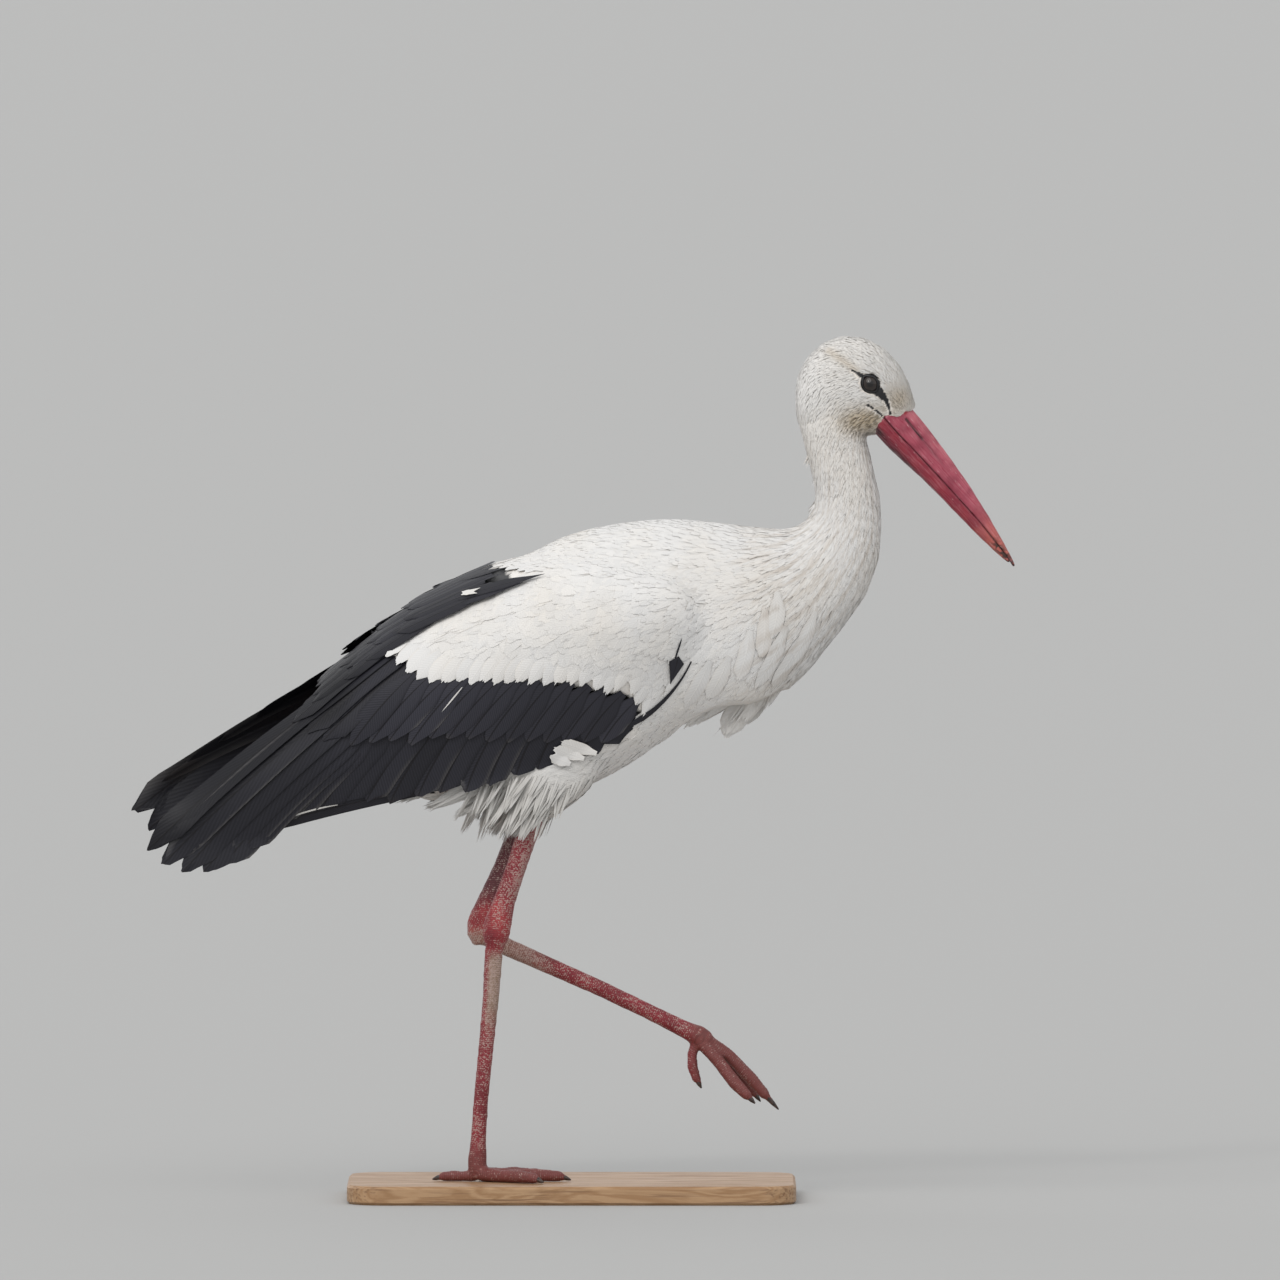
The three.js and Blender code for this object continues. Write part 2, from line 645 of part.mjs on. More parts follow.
// A foot: each toe gives way to the tarsus and to the toes before it, each claw to its toe.
function foot(toes, tarsusRoom) {
  const rooms = [tarsusRoom];
  const pieces = {};
  for (const [name, toe] of Object.entries(toes)) {
    const toeRoom = toeSolid(toe, GAP);
    pieces[`toe_${name}`] = bodies(without(toeSolid(toe), ...rooms))[0];
    pieces[`claw_${name}`] = bodies(clawSolid(toe).subtract(toeRoom))[0];
    rooms.push(toeRoom);
  }
  return pieces;
}

function leg({ thigh, shank, tarsus, toes }) {
  const shankRoom = limb(shank, { grow: GAP });
  return {
    thigh: limb(thigh).subtract(shankRoom),
    shank: limb(shank),
    tarsus: bodies(limb(tarsus).subtract(shankRoom))[0],
    ...foot(toes, limb(tarsus, { grow: GAP })),
  };
}

// ---- Tail and base ----

function tail() {
  const table = resample(TAIL, TAIL_STEP, (a, b) => Math.abs(a[0] - b[0]));
  return solid(loft(table.map(([x, z, halfWidth, halfThickness]) => {
    const sides = TAIL_SIDES;
    return Array.from({ length: sides }, (_, k) => {
      const angle = (2 * Math.PI * k) / sides;
      const across = Math.cos(angle) * halfWidth;
      const dip = TAIL_DIP * (across / halfWidth) ** 2;
      return new THREE.Vector3(x, across, z - dip + Math.sin(angle) * halfThickness);
    });
  })));
}

function base() {
  const { length, width, height, corner, edge } = BASE;
  const [x, y] = [length / 2 - edge, width / 2 - edge];
  const shape = new THREE.Shape();
  shape.moveTo(-x + corner, -y);
  shape.absarc(x - corner, -y + corner, corner, -Math.PI / 2, 0);
  shape.absarc(x - corner, y - corner, corner, 0, Math.PI / 2);
  shape.absarc(-x + corner, y - corner, corner, Math.PI / 2, Math.PI);
  shape.absarc(-x + corner, -y + corner, corner, Math.PI, 1.5 * Math.PI);
  const geometry = new THREE.ExtrudeGeometry(shape, {
    depth: height - 2 * edge,
    curveSegments: BASE_CORNER_STRIPS,
    bevelSize: edge,
    bevelThickness: edge,
    bevelSegments: 1,
  });
  geometry.translate(0, 0, edge);
  return solid(geometry);
}

// ---- The bird ----

const stork = new THREE.Group();

function place(name, piece, look) {
  const { vertProperties, triVerts } = piece.getMesh();
  const geometry = new THREE.BufferGeometry();
  geometry.setAttribute('position', new THREE.BufferAttribute(vertProperties, 3));
  geometry.setIndex(new THREE.BufferAttribute(triVerts, 1));
  const mesh = new THREE.Mesh(geometry, new THREE.MeshStandardMaterial(LOOKS[look]));
  mesh.name = name;
  stork.add(mesh);
}

const rightWing = wing(RIGHT_LIFT);
const leftWing = wing(LEFT_LIFT);
const wingRooms = [rightWing.room, mirrored(leftWing.room)];

const billRoom = billHalf(true, GAP).add(billHalf(false, GAP)).add(
  prism(BILL_SOCKET, BILL_SOCKET_WIDTH, true),
);
const carved = without(flesh(), ...wingRooms, billRoom, eyeball(1, GAP), eyeball(-1, GAP));
const parted = without(carved, ...NECK_CUTS.map((line) => wall(line, REACH, true)));
const lengths = bodies(parted).slice(0, BODY_NAMES.length);
lengths.sort((a, b) => boundsMiddle(a, 2) - boundsMiddle(b, 2));
lengths.forEach((piece, i) => place(BODY_NAMES[i], piece, 'white'));

place('bill_upper', billHalf(true), 'bill');
place('bill_lower', billHalf(false), 'bill');
place('eye_right', eyeball(-1), 'eye');
place('eye_left', eyeball(1), 'eye');

const trunkRoom = sectionLoft(BODY, BODY_STEP, BODY_SIDES, GAP);
place('tail', bodies(without(tail(), trunkRoom, ...wingRooms))[0], 'white');

for (const [side, parts] of [['right', rightWing.parts], ['left', leftWing.parts]]) {
  for (const [name, piece] of Object.entries(parts)) {
    const whole = side === 'left' ? mirrored(piece) : piece;
    place(`${name}_${side}`, whole, name === 'coverts' ? 'white' : 'black');
  }
}

const toesOf = (source, make) => Object.fromEntries(Object.entries(source).map(
  ([name, toe]) => [name, make(toe, name === 'hind' ? HIND_RADII : TOE_RADII)],
));
const legs = {
  right: leg({
    thigh: RIGHT_THIGH, shank: RIGHT_SHANK, tarsus: RIGHT_TARSUS, toes: toesOf(STANDING_TOES, standingToe),
  }),
  left: leg({
    thigh: LEFT_THIGH, shank: LEFT_SHANK, tarsus: LEFT_TARSUS, toes: toesOf(LIFTED_TOES, liftedToe),
  }),
};
for (const [side, pieces] of Object.entries(legs)) {
  for (const [name, piece] of Object.entries(pieces)) {
    const isThigh = name === 'thigh';
    const fitted = isThigh ? bodies(without(piece, trunkRoom, ...wingRooms))[0] : piece;
    const look = isThigh ? 'white' : (name.startsWith('claw') ? 'claw' : 'leg');
    place(`${name}_${side}`, fitted, look);
  }
}

place('stand_base', base(), 'wood');

export default stork;
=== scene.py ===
import math
import bpy
import numpy as np
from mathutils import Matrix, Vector
from mathutils.bvhtree import BVHTree
from mathutils.kdtree import KDTree


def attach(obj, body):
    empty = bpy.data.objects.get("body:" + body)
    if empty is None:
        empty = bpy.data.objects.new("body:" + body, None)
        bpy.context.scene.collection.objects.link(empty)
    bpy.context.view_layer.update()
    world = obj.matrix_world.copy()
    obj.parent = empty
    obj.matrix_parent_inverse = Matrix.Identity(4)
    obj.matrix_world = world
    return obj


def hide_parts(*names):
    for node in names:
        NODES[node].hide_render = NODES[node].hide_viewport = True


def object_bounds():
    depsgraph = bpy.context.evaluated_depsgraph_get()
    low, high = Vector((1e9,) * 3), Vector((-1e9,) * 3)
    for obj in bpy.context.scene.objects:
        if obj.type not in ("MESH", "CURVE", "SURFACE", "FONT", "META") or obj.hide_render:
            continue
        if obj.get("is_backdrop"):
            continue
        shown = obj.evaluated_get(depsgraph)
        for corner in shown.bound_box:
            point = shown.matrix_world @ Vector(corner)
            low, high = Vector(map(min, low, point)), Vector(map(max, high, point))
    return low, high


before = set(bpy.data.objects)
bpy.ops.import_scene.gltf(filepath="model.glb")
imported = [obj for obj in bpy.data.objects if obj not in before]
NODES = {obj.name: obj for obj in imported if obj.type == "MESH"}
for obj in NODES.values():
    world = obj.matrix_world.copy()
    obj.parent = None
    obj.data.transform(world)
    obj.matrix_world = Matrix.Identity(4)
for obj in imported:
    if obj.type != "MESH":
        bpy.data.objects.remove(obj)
CAD_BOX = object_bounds()
MM = 0.001
rng = np.random.default_rng(11)

# Every size below is in millimetres in the frame's axes: x is where the bird faces, z is up.
# Points of an outline are (x, z), as seen from the bird's right side.

EYE = (286.0, 783.0)
EYE_SIDE = 18.6
EYE_RADIUS = 9.2
BILL_ROOT = (308.4, 740.0)
BILL_ALONG = (0.656, -0.7546)
BILL_UP = (0.7546, 0.656)

# x, top, foot, top's side, foot's side, half width of the folded wing
WING_ROWS = np.array([
    [125, 555, 546, 73, 72, 74], [120, 568, 535, 75, 73, 79], [110, 588, 511, 74, 69, 87],
    [94, 604, 487, 67, 63, 92], [66, 613, 464, 57, 62, 97], [27, 621, 439, 45, 64, 101],
    [-11, 627, 425, 22, 64, 101], [-69, 614, 408, 1, 60, 96], [-117, 593, 396, 1, 54, 87],
    [-165, 566, 385, 1, 48, 76], [-213, 524, 375, 1, 43, 65], [-261, 484, 362, 1, 38, 54],
    [-309, 447, 349, 1, 33, 44], [-345, 414, 341, 1, 29, 36], [-388, 371, 339, 6, 25, 28],
], float)[::-1]
WING_BOW = 0.6
WING_STEP = 2.0
WING_BLUR = 19
LEFT_RISE, LEFT_REACH, LEFT_FROM, LEFT_LENGTH = 32.0, 14.0, -165.0, 225.0


# ---------------------------------------------------------------- small helpers

def unit(vectors):
    """Vectors at a length of one."""
    return vectors / np.maximum(np.linalg.norm(vectors, axis=-1, keepdims=True), 1e-9)


def ramp(value, start, end):
    """0 before start, 1 after end, and smooth between them."""
    t = np.clip((value - start) / (end - start), 0, 1)
    return t * t * (3 - 2 * t)


def side_view(points):
    """The places (x, z) of points, as seen from the side."""
    return points[:, [0, 2]]


def above_line(points, line):
    """How high each point is above a line given in side view."""
    return points[:, 2] - np.interp(points[:, 0], *line.T)


def kept(keep, *arrays):
    """The rows of several arrays where keep is true."""
    return [array[keep] for array in arrays]


def along(rail, count):
    """Points at even steps along a polyline."""
    rail = np.array(rail, float)
    reach = np.concatenate([[0], np.cumsum(np.linalg.norm(np.diff(rail, axis=0), axis=1))])
    stops = np.linspace(0.0, 1.0, count) * reach[-1]
    return np.stack([np.interp(stops, reach, rail[:, k]) for k in range(rail.shape[1])], axis=1)


def off_line(points, line):
    """How far each point (x, z) is from a polyline."""
    nearest = np.full(len(points), 1e9)
    for a, b in zip(line[:-1], line[1:]):
        a, b = np.array(a, float), np.array(b, float)
        t = np.clip(((points - a) @ (b - a)) / ((b - a) @ (b - a)), 0, 1)
        nearest = np.minimum(nearest, np.linalg.norm(points - a - t[:, None] * (b - a), axis=1))
    return nearest


def inside(points, outline):
    """Which points (x, z) are inside a closed outline."""
    x, z = points[:, 0], points[:, 1]
    hit = np.zeros(len(points), bool)
    for (x0, z0), (x1, z1) in zip(outline, outline[1:] + outline[:1]):
        crosses = (z0 > z) != (z1 > z)
        at = x0 + (z - z0) * (x1 - x0) / ((z1 - z0) or 1e-9)
        hit ^= crosses & (x < at)
    return hit


def waves(points, size, seed):
    """Smooth noise about -1 to 1, from a few sine waves in seeded directions."""
    source = np.random.default_rng(seed)
    total = np.zeros(len(points))
    for _ in range(6):
        heading = unit(source.normal(size=3)) * 2 * math.pi / (size * source.uniform(0.6, 1.6))
        total += np.sin(points @ heading + source.uniform(0, 2 * math.pi))
    return total / 2.6


# ---------------------------------------------------------------- meshes

def new_object(name, points, polygons):
    """A mesh object from points in millimetres and a list of arrays of equal-sized polygons."""
    mesh = bpy.data.meshes.new(name)
    mesh.vertices.add(len(points))
    mesh.vertices.foreach_set("co", (np.asarray(points) * MM).astype(np.float32).ravel())
    loops = np.concatenate([p.ravel() for p in polygons]).astype(np.int32)
    sizes = np.concatenate([np.full(len(p), p.shape[1]) for p in polygons])
    mesh.loops.add(len(loops))
    mesh.loops.foreach_set("vertex_index", loops)
    mesh.polygons.add(len(sizes))
    mesh.polygons.foreach_set("loop_start", (np.cumsum(sizes) - sizes).astype(np.int32))
    mesh.update(calc_edges=True)
    mesh.polygons.foreach_set("use_smooth", np.ones(len(sizes), bool))
    piece = bpy.data.objects.new(name, mesh)
    bpy.context.scene.collection.objects.link(piece)
    return piece


def add_values(piece, name, values):
    """A named value on each vertex: a number or a vector."""
    kind, slot = {1: ("FLOAT", "value"), 3: ("FLOAT_VECTOR", "vector")}[values.shape[1]]
    layer = piece.data.attributes.new(name, kind, "POINT")
    layer.data.foreach_set(slot, values.astype(np.float32).ravel())


def add_colours(piece, colours):
    """The colour of each vertex, which the materials read as tint."""
    layer = piece.data.attributes.new("tint", "FLOAT_COLOR", "POINT")
    alpha = np.ones((len(colours), 1))
    layer.data.foreach_set("color", np.hstack([colours, alpha]).astype(np.float32).ravel())


def corners_of(mesh):
    """The vertex of each corner of a mesh's polygons."""
    corners = np.zeros(len(mesh.loops), np.int32)
    mesh.loops.foreach_get("vertex_index", corners)
    return corners


def add_map(piece, places):
    """The UV map for baking, from one place for each vertex."""
    layer = piece.data.uv_layers.new(name="OFBake")
    layer.data.foreach_set("uv", places[corners_of(piece.data)].astype(np.float32).ravel())


def dress(piece, slot, material, replaces=()):
    """Gives a piece its material and its body, and hides the CAD nodes that it stands for. slot is
    not used.
    """
    piece.data.materials.append(material)
    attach(piece, "root")
    if replaces:
        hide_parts(*replaces)


def ring_quads(grid):
    """Quads between the rows of a grid of point numbers, each row closed into a ring."""
    after = np.roll(grid, -1, axis=1)
    return np.stack([grid[:-1], after[:-1], after[1:], grid[1:]], axis=-1).reshape(-1, 4)


def mesh_arrays(mesh):
    """Points in millimetres and normals of a mesh."""
    points = np.zeros(len(mesh.vertices) * 3, np.float32)
    mesh.vertices.foreach_get("co", points)
    normals = np.zeros(len(mesh.vertices) * 3, np.float32)
    mesh.vertex_normals.foreach_get("vector", normals)
    return points.reshape(-1, 3).astype(float) / MM, normals.reshape(-1, 3).astype(float)


def triangles_of(mesh):
    """The three points of each triangle of a mesh."""
    mesh.calc_loop_triangles()
    corners = np.zeros(len(mesh.loop_triangles) * 3, np.int32)
    mesh.loop_triangles.foreach_get("vertices", corners)
    return corners.reshape(-1, 3)


def fused(names, voxel, rounds, shift=None):
    """A smooth voxel surface round some CAD nodes: (points, normals, quads).
    A narrow gap between nodes can leave a separate speck a voxel or so across, which is kept."""
    points, faces, start = [], [], 0
    for name in names:
        mesh = NODES[name].data
        own, _ = mesh_arrays(mesh)
        faces.append(triangles_of(mesh) + start)
        points.append(own if shift is None else shift(name, own))
        start += len(own)
    lump = new_object("lump", np.concatenate(points), [np.concatenate(faces)])
    remesh = lump.modifiers.new("remesh", "REMESH")
    remesh.mode = "VOXEL"
    remesh.voxel_size = voxel * MM
    relax = lump.modifiers.new("relax", "SMOOTH")
    relax.factor = 0.5
    relax.iterations = rounds
    bpy.context.view_layer.update()
    shaped = lump.evaluated_get(bpy.context.evaluated_depsgraph_get())
    mesh = bpy.data.meshes.new_from_object(shaped)
    out, normals = mesh_arrays(mesh)
    quads = corners_of(mesh).reshape(-1, 4)
    bpy.data.objects.remove(lump)
    bpy.data.meshes.remove(mesh)
    return out, normals, quads


# ---------------------------------------------------------------- the surfaces that feathers lie on

FAR_OUT = 300.0


class Ground:
    """A surface that feathers grow from, with its nearest points and smooth normals."""

    def __init__(self, points, normals, quads):
        self.points, self.normals, self.quads = points, normals, quads
        self.tree = BVHTree.FromPolygons([Vector(p) for p in points], quads.tolist())
        a, b, c, d = (points[quads[:, k]] for k in range(4))
        self.areas = np.linalg.norm(np.cross(c - a, d - b), axis=1) / 2

    def nearest(self, places):
        """The nearest points of the surface, with their normals."""
        found = [self.tree.find_nearest(Vector(p)) for p in places]
        spots = np.array([f[0] for f in found])
        faces = np.array([f[2] for f in found])
        return spots, unit(self.normals[self.quads[faces]].mean(axis=1))

    def beside(self, places, side):
        """The outermost points at places (x, z), seen from one side, with their normals."""
        spots, faces = [], []
        for x, z in places:
            spot, _, face, _ = self.tree.ray_cast(Vector((x, side * FAR_OUT, z)),
                                                  Vector((0, -side, 0)))
            if spot is None:
                spot, _, face, _ = self.tree.find_nearest(Vector((x, side * FAR_OUT / 4, z)))
            spots.append(spot)
            faces.append(face)
        return np.array(spots), unit(self.normals[self.quads[faces]].mean(axis=1))

    def scatter(self, count):
        """Random points, evenly over the surface."""
        faces = rng.choice(len(self.quads), count, p=self.areas / self.areas.sum())
        a, b = rng.random((2, count, 1))
        corners = self.points[self.quads[faces]]
        return (corners[:, 0] * (1 - a) * (1 - b) + corners[:, 1] * a * (1 - b)
                + corners[:, 2] * a * b + corners[:, 3] * (1 - a) * b)


def thin_out(places, spacing):
    """Which places to keep so that no two are closer than their spacing."""
    tree = KDTree(len(places))
    for k, place in enumerate(places):
        tree.insert(Vector(place), k)
    tree.balance()
    free = np.ones(len(places), bool)
    chosen = []
    for k in range(len(places)):
        if free[k]:
            chosen.append(k)
            for _, other, _ in tree.find_range(Vector(places[k]), spacing[k]):
                free[other] = False
    return np.array(chosen, int)


def guided(points, guides):
    """Blends the rows of a guide table by how near each point (x, z) is to the row's own (x, z)."""
    table = np.array(guides, float)
    gaps = np.linalg.norm(points[:, None, [0, 2]] - table[None, :, :2], axis=2)
    weights = 1 / (gaps ** 3 + 60)
    weights /= weights.sum(axis=1, keepdims=True)
    angles = np.radians(table[:, 2])
    heading = unit(weights @ np.stack([np.cos(angles), np.sin(angles)], axis=1))
    return heading, weights @ table[:, 3:]


STRAY = 6.0  # how far a feather turns from the lie, in degrees


def laid(ground, roots, guides, lengths, low, high, steps):
    """Paths over a surface along the lie of the coat. Each rises from low to high above it."""
    spots, normals = ground.nearest(roots)
    turn = np.radians(rng.normal(0, STRAY, len(roots)))[:, None]
    paths, uppers = [], []
    for k in range(steps + 1):
        rise = low + (high - low) * (k / steps) ** 0.4
        paths.append(spots + normals * rise[:, None])
        uppers.append(normals)
        heading, _ = guided(spots, guides)
        heading = np.stack([heading[:, 0], np.zeros(len(spots)), heading[:, 1]], axis=1)
        heading = unit(heading - normals * (heading * normals).sum(axis=1, keepdims=True))
        heading = heading * np.cos(turn) + np.cross(normals, heading) * np.sin(turn)
        if k < steps:
            spots, normals = ground.nearest(spots + heading * (lengths / steps)[:, None])
    return np.stack(paths, axis=1), np.stack(uppers, axis=1)


# ---------------------------------------------------------------- vanes

def lerp_rows(rows, place):
    """Values between the rows of each path, at places counted in rows."""
    low = np.minimum(place.astype(int), rows.shape[1] - 2)
    share = (place - low)[..., None]
    each = np.arange(len(rows)).reshape(-1, *[1] * (place.ndim - 1))
    return rows[each, low] * (1 - share) + rows[each, low + 1] * share


KEEL_SHARE, KEEL_MOST = 0.10, 0.35


def vanes(paths, normals, half_widths, columns, rows, form, blunt=0.25, ragged=0.1, camber=0.15,
          tilt=0.0):
    """Closed thin vanes along paths: (points, polygons, vane places, number of each point's vane).
    form gives the width from root (0) to tip (1), blunt how round the tip is, ragged how torn.
    camber is the height of the middle and tilt the height of one edge, as shares of the width.
    A vane of more than two columns has a shallow keel, which keeps its underside below its top."""
    count = len(paths)
    across = np.linspace(-1, 1, columns + 1)
    down = np.linspace(0, 1, rows + 1) ** 0.85
    reach = 1 - blunt * np.abs(across) ** 2.2
    reach = reach[None] * (1 - ragged * rng.random((count, columns + 1)))
    if columns == 2:
        reach[:, 1] = 1
    place = down[None, :, None] * reach[:, None, :]
    rowed = place * (paths.shape[1] - 1)
    tangents = unit(np.gradient(paths, axis=1))
    sides = unit(np.cross(tangents, normals))
    centre, up, side = lerp_rows(paths, rowed), lerp_rows(normals, rowed), lerp_rows(sides, rowed)
    wide = form(place) * half_widths[:, None, None]
    u = across[None, None, :]
    rise = wide * (camber * (1 - u * u) + tilt * u)
    points = centre + side * (u * wide)[..., None] + up * rise[..., None]
    vane = np.stack([np.broadcast_to(u, place.shape), place,
                     np.broadcast_to(rng.random((count, 1, 1)), place.shape)], axis=-1)
    if columns > 2:
        middle = columns // 2
        deep = np.minimum(KEEL_SHARE * wide[:, :, middle], KEEL_MOST)[..., None]
        keel = centre[:, :, middle] - up[:, :, middle] * deep
        points = np.concatenate([points, keel[:, :, None]], axis=2)
        vane = np.concatenate([vane, vane[:, :, middle:middle + 1]], axis=2)

    around = points.shape[2]
    per = (rows + 1) * around
    grid = np.arange(per).reshape(rows + 1, around)
    shell = ring_quads(grid)
    fans = [np.stack([np.full(around - 2, row[-1]), row[:-2], row[1:-1]], axis=1)
            for row in (grid[0], grid[-1])]
    caps = np.concatenate([fans[0][:, ::-1], fans[1]])
    base = (np.arange(count) * per)[:, None, None]
    quads = (shell[None] + base).reshape(-1, 4)
    ends = (caps[None] + base).reshape(-1, 3)
    numbers = np.repeat(np.arange(count), per)
    return points.reshape(-1, 3), [quads, ends], vane.reshape(-1, 3), numbers


def slender(t):
    """A lock that is widest near its middle and comes to a point."""
    return np.clip(np.sin(math.pi * np.clip(t * 0.86 + 0.12, 0, 1)) ** 0.7, 0.02, 1)


def rounded(t):
    """A vane that widens soon and stays wide."""
    return (0.35 + 0.65 * ramp(t, 0, 0.4)) * (1 - 0.35 * ramp(t, 0.75, 1.0))


def plume(t):
    """A soft hanging feather, widest past its middle, that ends in a loose point."""
    return np.clip(np.sin(math.pi * np.clip(0.10 + 0.84 * t, 0, 1)) ** 0.8, 0.03, 1)


def spear(t):
    """Pointed at its root, then wide to near its tip."""
    return np.clip(ramp(t, -0.04, 0.42), 0.03, 1) * (1 - 0.5 * ramp(t, 0.75, 1.0))


def kite(t):
    """A leaf shape, widest a little past its middle."""
    return np.clip(np.minimum(t / 0.6, (1 - t) / 0.4), 0.05, 1)


def wedge(t):
    """A triangle with its short side near the tip."""
    return np.clip(np.minimum(t / 0.78, (1 - t) / 0.22), 0.05, 1)


def widening(t):
    """Nearly a point at its root, and widest at its tip."""
    return 0.16 + 0.84 * t ** 1.6


def fringe(t):
    """A covert whose tip stands clear of its neighbours."""
    return (0.5 + 0.5 * ramp(t, 0, 0.4)) * (1 - 0.34 * ramp(t, 0.55, 1.0))


def quill(t):
    """A long flight feather: narrow at its root, even in width, then drawn in to its tip."""
    return (0.45 + 0.55 * ramp(t, 0, 0.3)) * (1 - 0.55 * ramp(t, 0.82, 1.0) ** 1.3)


def blade(t):
    """A quill with a broad round tip."""
    return (0.45 + 0.55 * ramp(t, 0, 0.3)) * (1 - 0.28 * ramp(t, 0.86, 1.0))


def joined(parts):
    """Several lots of vanes as one."""
    points, by_size, vane, number, start, first = [], {}, [], [], 0, 0
    for built in parts:
        for polygon in built[1]:
            by_size.setdefault(polygon.shape[1], []).append(polygon + start)
        points.append(built[0])
        vane.append(built[2])
        number.append(built[3] + first)
        start += len(built[0])
        first += built[3].max() + 1
    polygons = [np.concatenate(same) for same in by_size.values()]
    return np.concatenate(points), polygons, np.concatenate(vane), np.concatenate(number)


PATCH = 0.003
SHARP_ANGLE = 70.0
SPINE = [
    (-240, 428), (-100, 460), (40, 520), (140, 560), (215, 600), (255, 650), (256, 710), (262, 760),
    (330, 775),
]
SPINE_STEPS, SPINE_STEP = 120, 12


def unwrap(points):
    """Places of points on a tube round the body's curved axis: how far along and how far round."""
    axis = along(SPINE, SPINE_STEPS)
    gaps = np.linalg.norm(points[:, None, [0, 2]] - axis[None], axis=2)
    station = gaps.argmin(axis=1)
    ahead = unit(np.gradient(axis, axis=0))[station]
    lean = side_view(points) - axis[station]
    above = lean[:, 1] * ahead[:, 0] - lean[:, 0] * ahead[:, 1]
    fine = (lean * ahead).sum(axis=1) / SPINE_STEP
    turn = np.arctan2(points[:, 1], above) / (2 * math.pi) + 0.5
    return np.stack([(station + np.clip(fine, -0.5, 0.5)) / len(axis), turn], axis=1)


def spread(values):
    """Values stretched to fill 0 to 1 in each column."""
    low, high = values.min(axis=0), values.max(axis=0)
    return (values - low) / np.maximum(high - low, 1e-6)


def feather_piece(name, built, colours, slot, material, roots=None, replaces=()):
    """Makes a piece of feathers with its map: a small patch each, or a large one without roots."""
    points, polygons, vane, number = built
    piece = new_object(name, points, polygons)
    piece.data.set_sharp_from_angle(angle=math.radians(SHARP_ANGLE))
    add_colours(piece, colours)
    add_values(piece, "vane", vane)
    count = number.max() + 1
    inner = np.stack([(vane[:, 0] + 1) / 2, vane[:, 1]], axis=1)
    if roots is None:
        wide = math.ceil(math.sqrt(count * 2))
        tall = math.ceil(count / wide)
        cell = np.stack([number % wide, number // wide], axis=1)
        places = (cell + 0.06 + 0.88 * inner) / np.array([wide, tall])
    else:
        start = 0.002 + 0.993 * spread(unwrap(roots))
        places = start[number] + PATCH * inner
    add_map(piece, places)
    dress(piece, slot, material, replaces)


def white_piece(name, built, material, roots=None, replaces=()):
    """A piece of white feathers."""
    colours = white_tint(built[0], built[2])
    feather_piece(name, built, colours, "plumage_white", material, roots, replaces)


def black_piece(name, built, roots=None):
    """A piece of black feathers that stands for no CAD node of its own."""
    feather_piece(name, built, black_tint(built[0], built[2]), "plumage_black", BLACK_VANES, roots)


# ---------------------------------------------------------------- materials

class Look:
    """A new material with short ways to add nodes."""

    def __init__(self, name, roughness, **sockets):
        self.material = bpy.data.materials.new(name)
        self.material.use_nodes = True
        self.tree = self.material.node_tree
        self.shader = self.tree.nodes["Principled BSDF"]
        self.shader.inputs["Roughness"].default_value = roughness
        for key, value in sockets.items():
            self.shader.inputs[key.replace("_", " ")].default_value = value

    def node(self, kind, inputs=(), **settings):
        """A shader node. An input is a value or another node's output."""
        made = self.tree.nodes.new("ShaderNode" + kind)
        for key, value in settings.items():
            setattr(made, key, value)
        for key, value in dict(inputs).items():
            if isinstance(value, bpy.types.NodeSocket):
                self.tree.links.new(value, made.inputs[key])
            else:
                made.inputs[key].default_value = value
        return made

    def place(self):
        return self.node("TexCoord").outputs["Object"]

    def noise(self, vector, scale, detail=2.0, distortion=0.0):
        inputs = {"Vector": vector, "Scale": scale, "Detail": detail, "Distortion": distortion}
        return self.node("TexNoise", inputs).outputs[0]

    def grey(self, value):
        return self.node("CombineColor", {0: value, 1: value, 2: value}).outputs[0]

    def read(self, name, output):
        """A value that the mesh carries."""
        return self.node("Attribute", attribute_name=name).outputs[output]

    def math(self, operation, first, second=0.0):
        return self.node("Math", {0: first, 1: second}, operation=operation).outputs[0]

    def mix(self, share, first, second, blend="MIX"):
        made = self.node("Mix", {0: share, 6: first, 7: second}, data_type="RGBA", blend_type=blend)
        return made.outputs[2]

    def remap(self, value, low, high, out_low, out_high):
        """A value carried from one range to another."""
        made = self.node("MapRange", {0: value, 1: low, 2: high, 3: out_low, 4: out_high})
        return made.outputs[0]

    def finish(self, colour, height=None, strength=0.3, distance=0.0004, roughness=None):
        """Ends the material with its colour, its relief and its roughness."""
        self.tree.links.new(colour, self.shader.inputs["Base Color"])
        if height is not None:
            bump = self.node("Bump", {"Strength": strength, "Distance": distance, "Height": height})
            self.tree.links.new(bump.outputs[0], self.shader.inputs["Normal"])
        if roughness is not None:
            self.tree.links.new(roughness, self.shader.inputs["Roughness"])
        return self.material


def plumage(name, roughness, barbs, shaft, contrast, **sockets):
    """Feather vanes: the tint with fine slanting barbs and a shaft down the middle."""
    look = Look(name, roughness, **sockets)
    tint = look.read("tint", "Color")
    places = look.node("SeparateXYZ", {0: look.read("vane", "Vector")})
    side = look.math("ABSOLUTE", places.outputs[0])
    down = look.math("MULTIPLY", places.outputs[1], barbs)
    slant = look.math("SUBTRACT", down, look.math("MULTIPLY", side, barbs * 0.14))
    clump = look.noise(look.place(), 420.0)
    slant = look.math("ADD", slant, look.math("MULTIPLY", clump, 2.5))
    ridge = look.math("SINE", slant)
    shade = look.remap(ridge, -1.0, 1.0, 1.0 - contrast, 1.0)
    colour = look.mix(1.0, tint, look.grey(shade), "MULTIPLY")
    line = look.remap(side, 0.03, 0.09, 1.0, 0.0)
    colour = look.mix(look.math("MULTIPLY", line, shaft[3]), colour, (*shaft[:3], 1.0))
    height = look.math("ADD", look.math("MULTIPLY", ridge, 0.3), line)
    return look.finish(colour, height, 0.35, 0.0003)


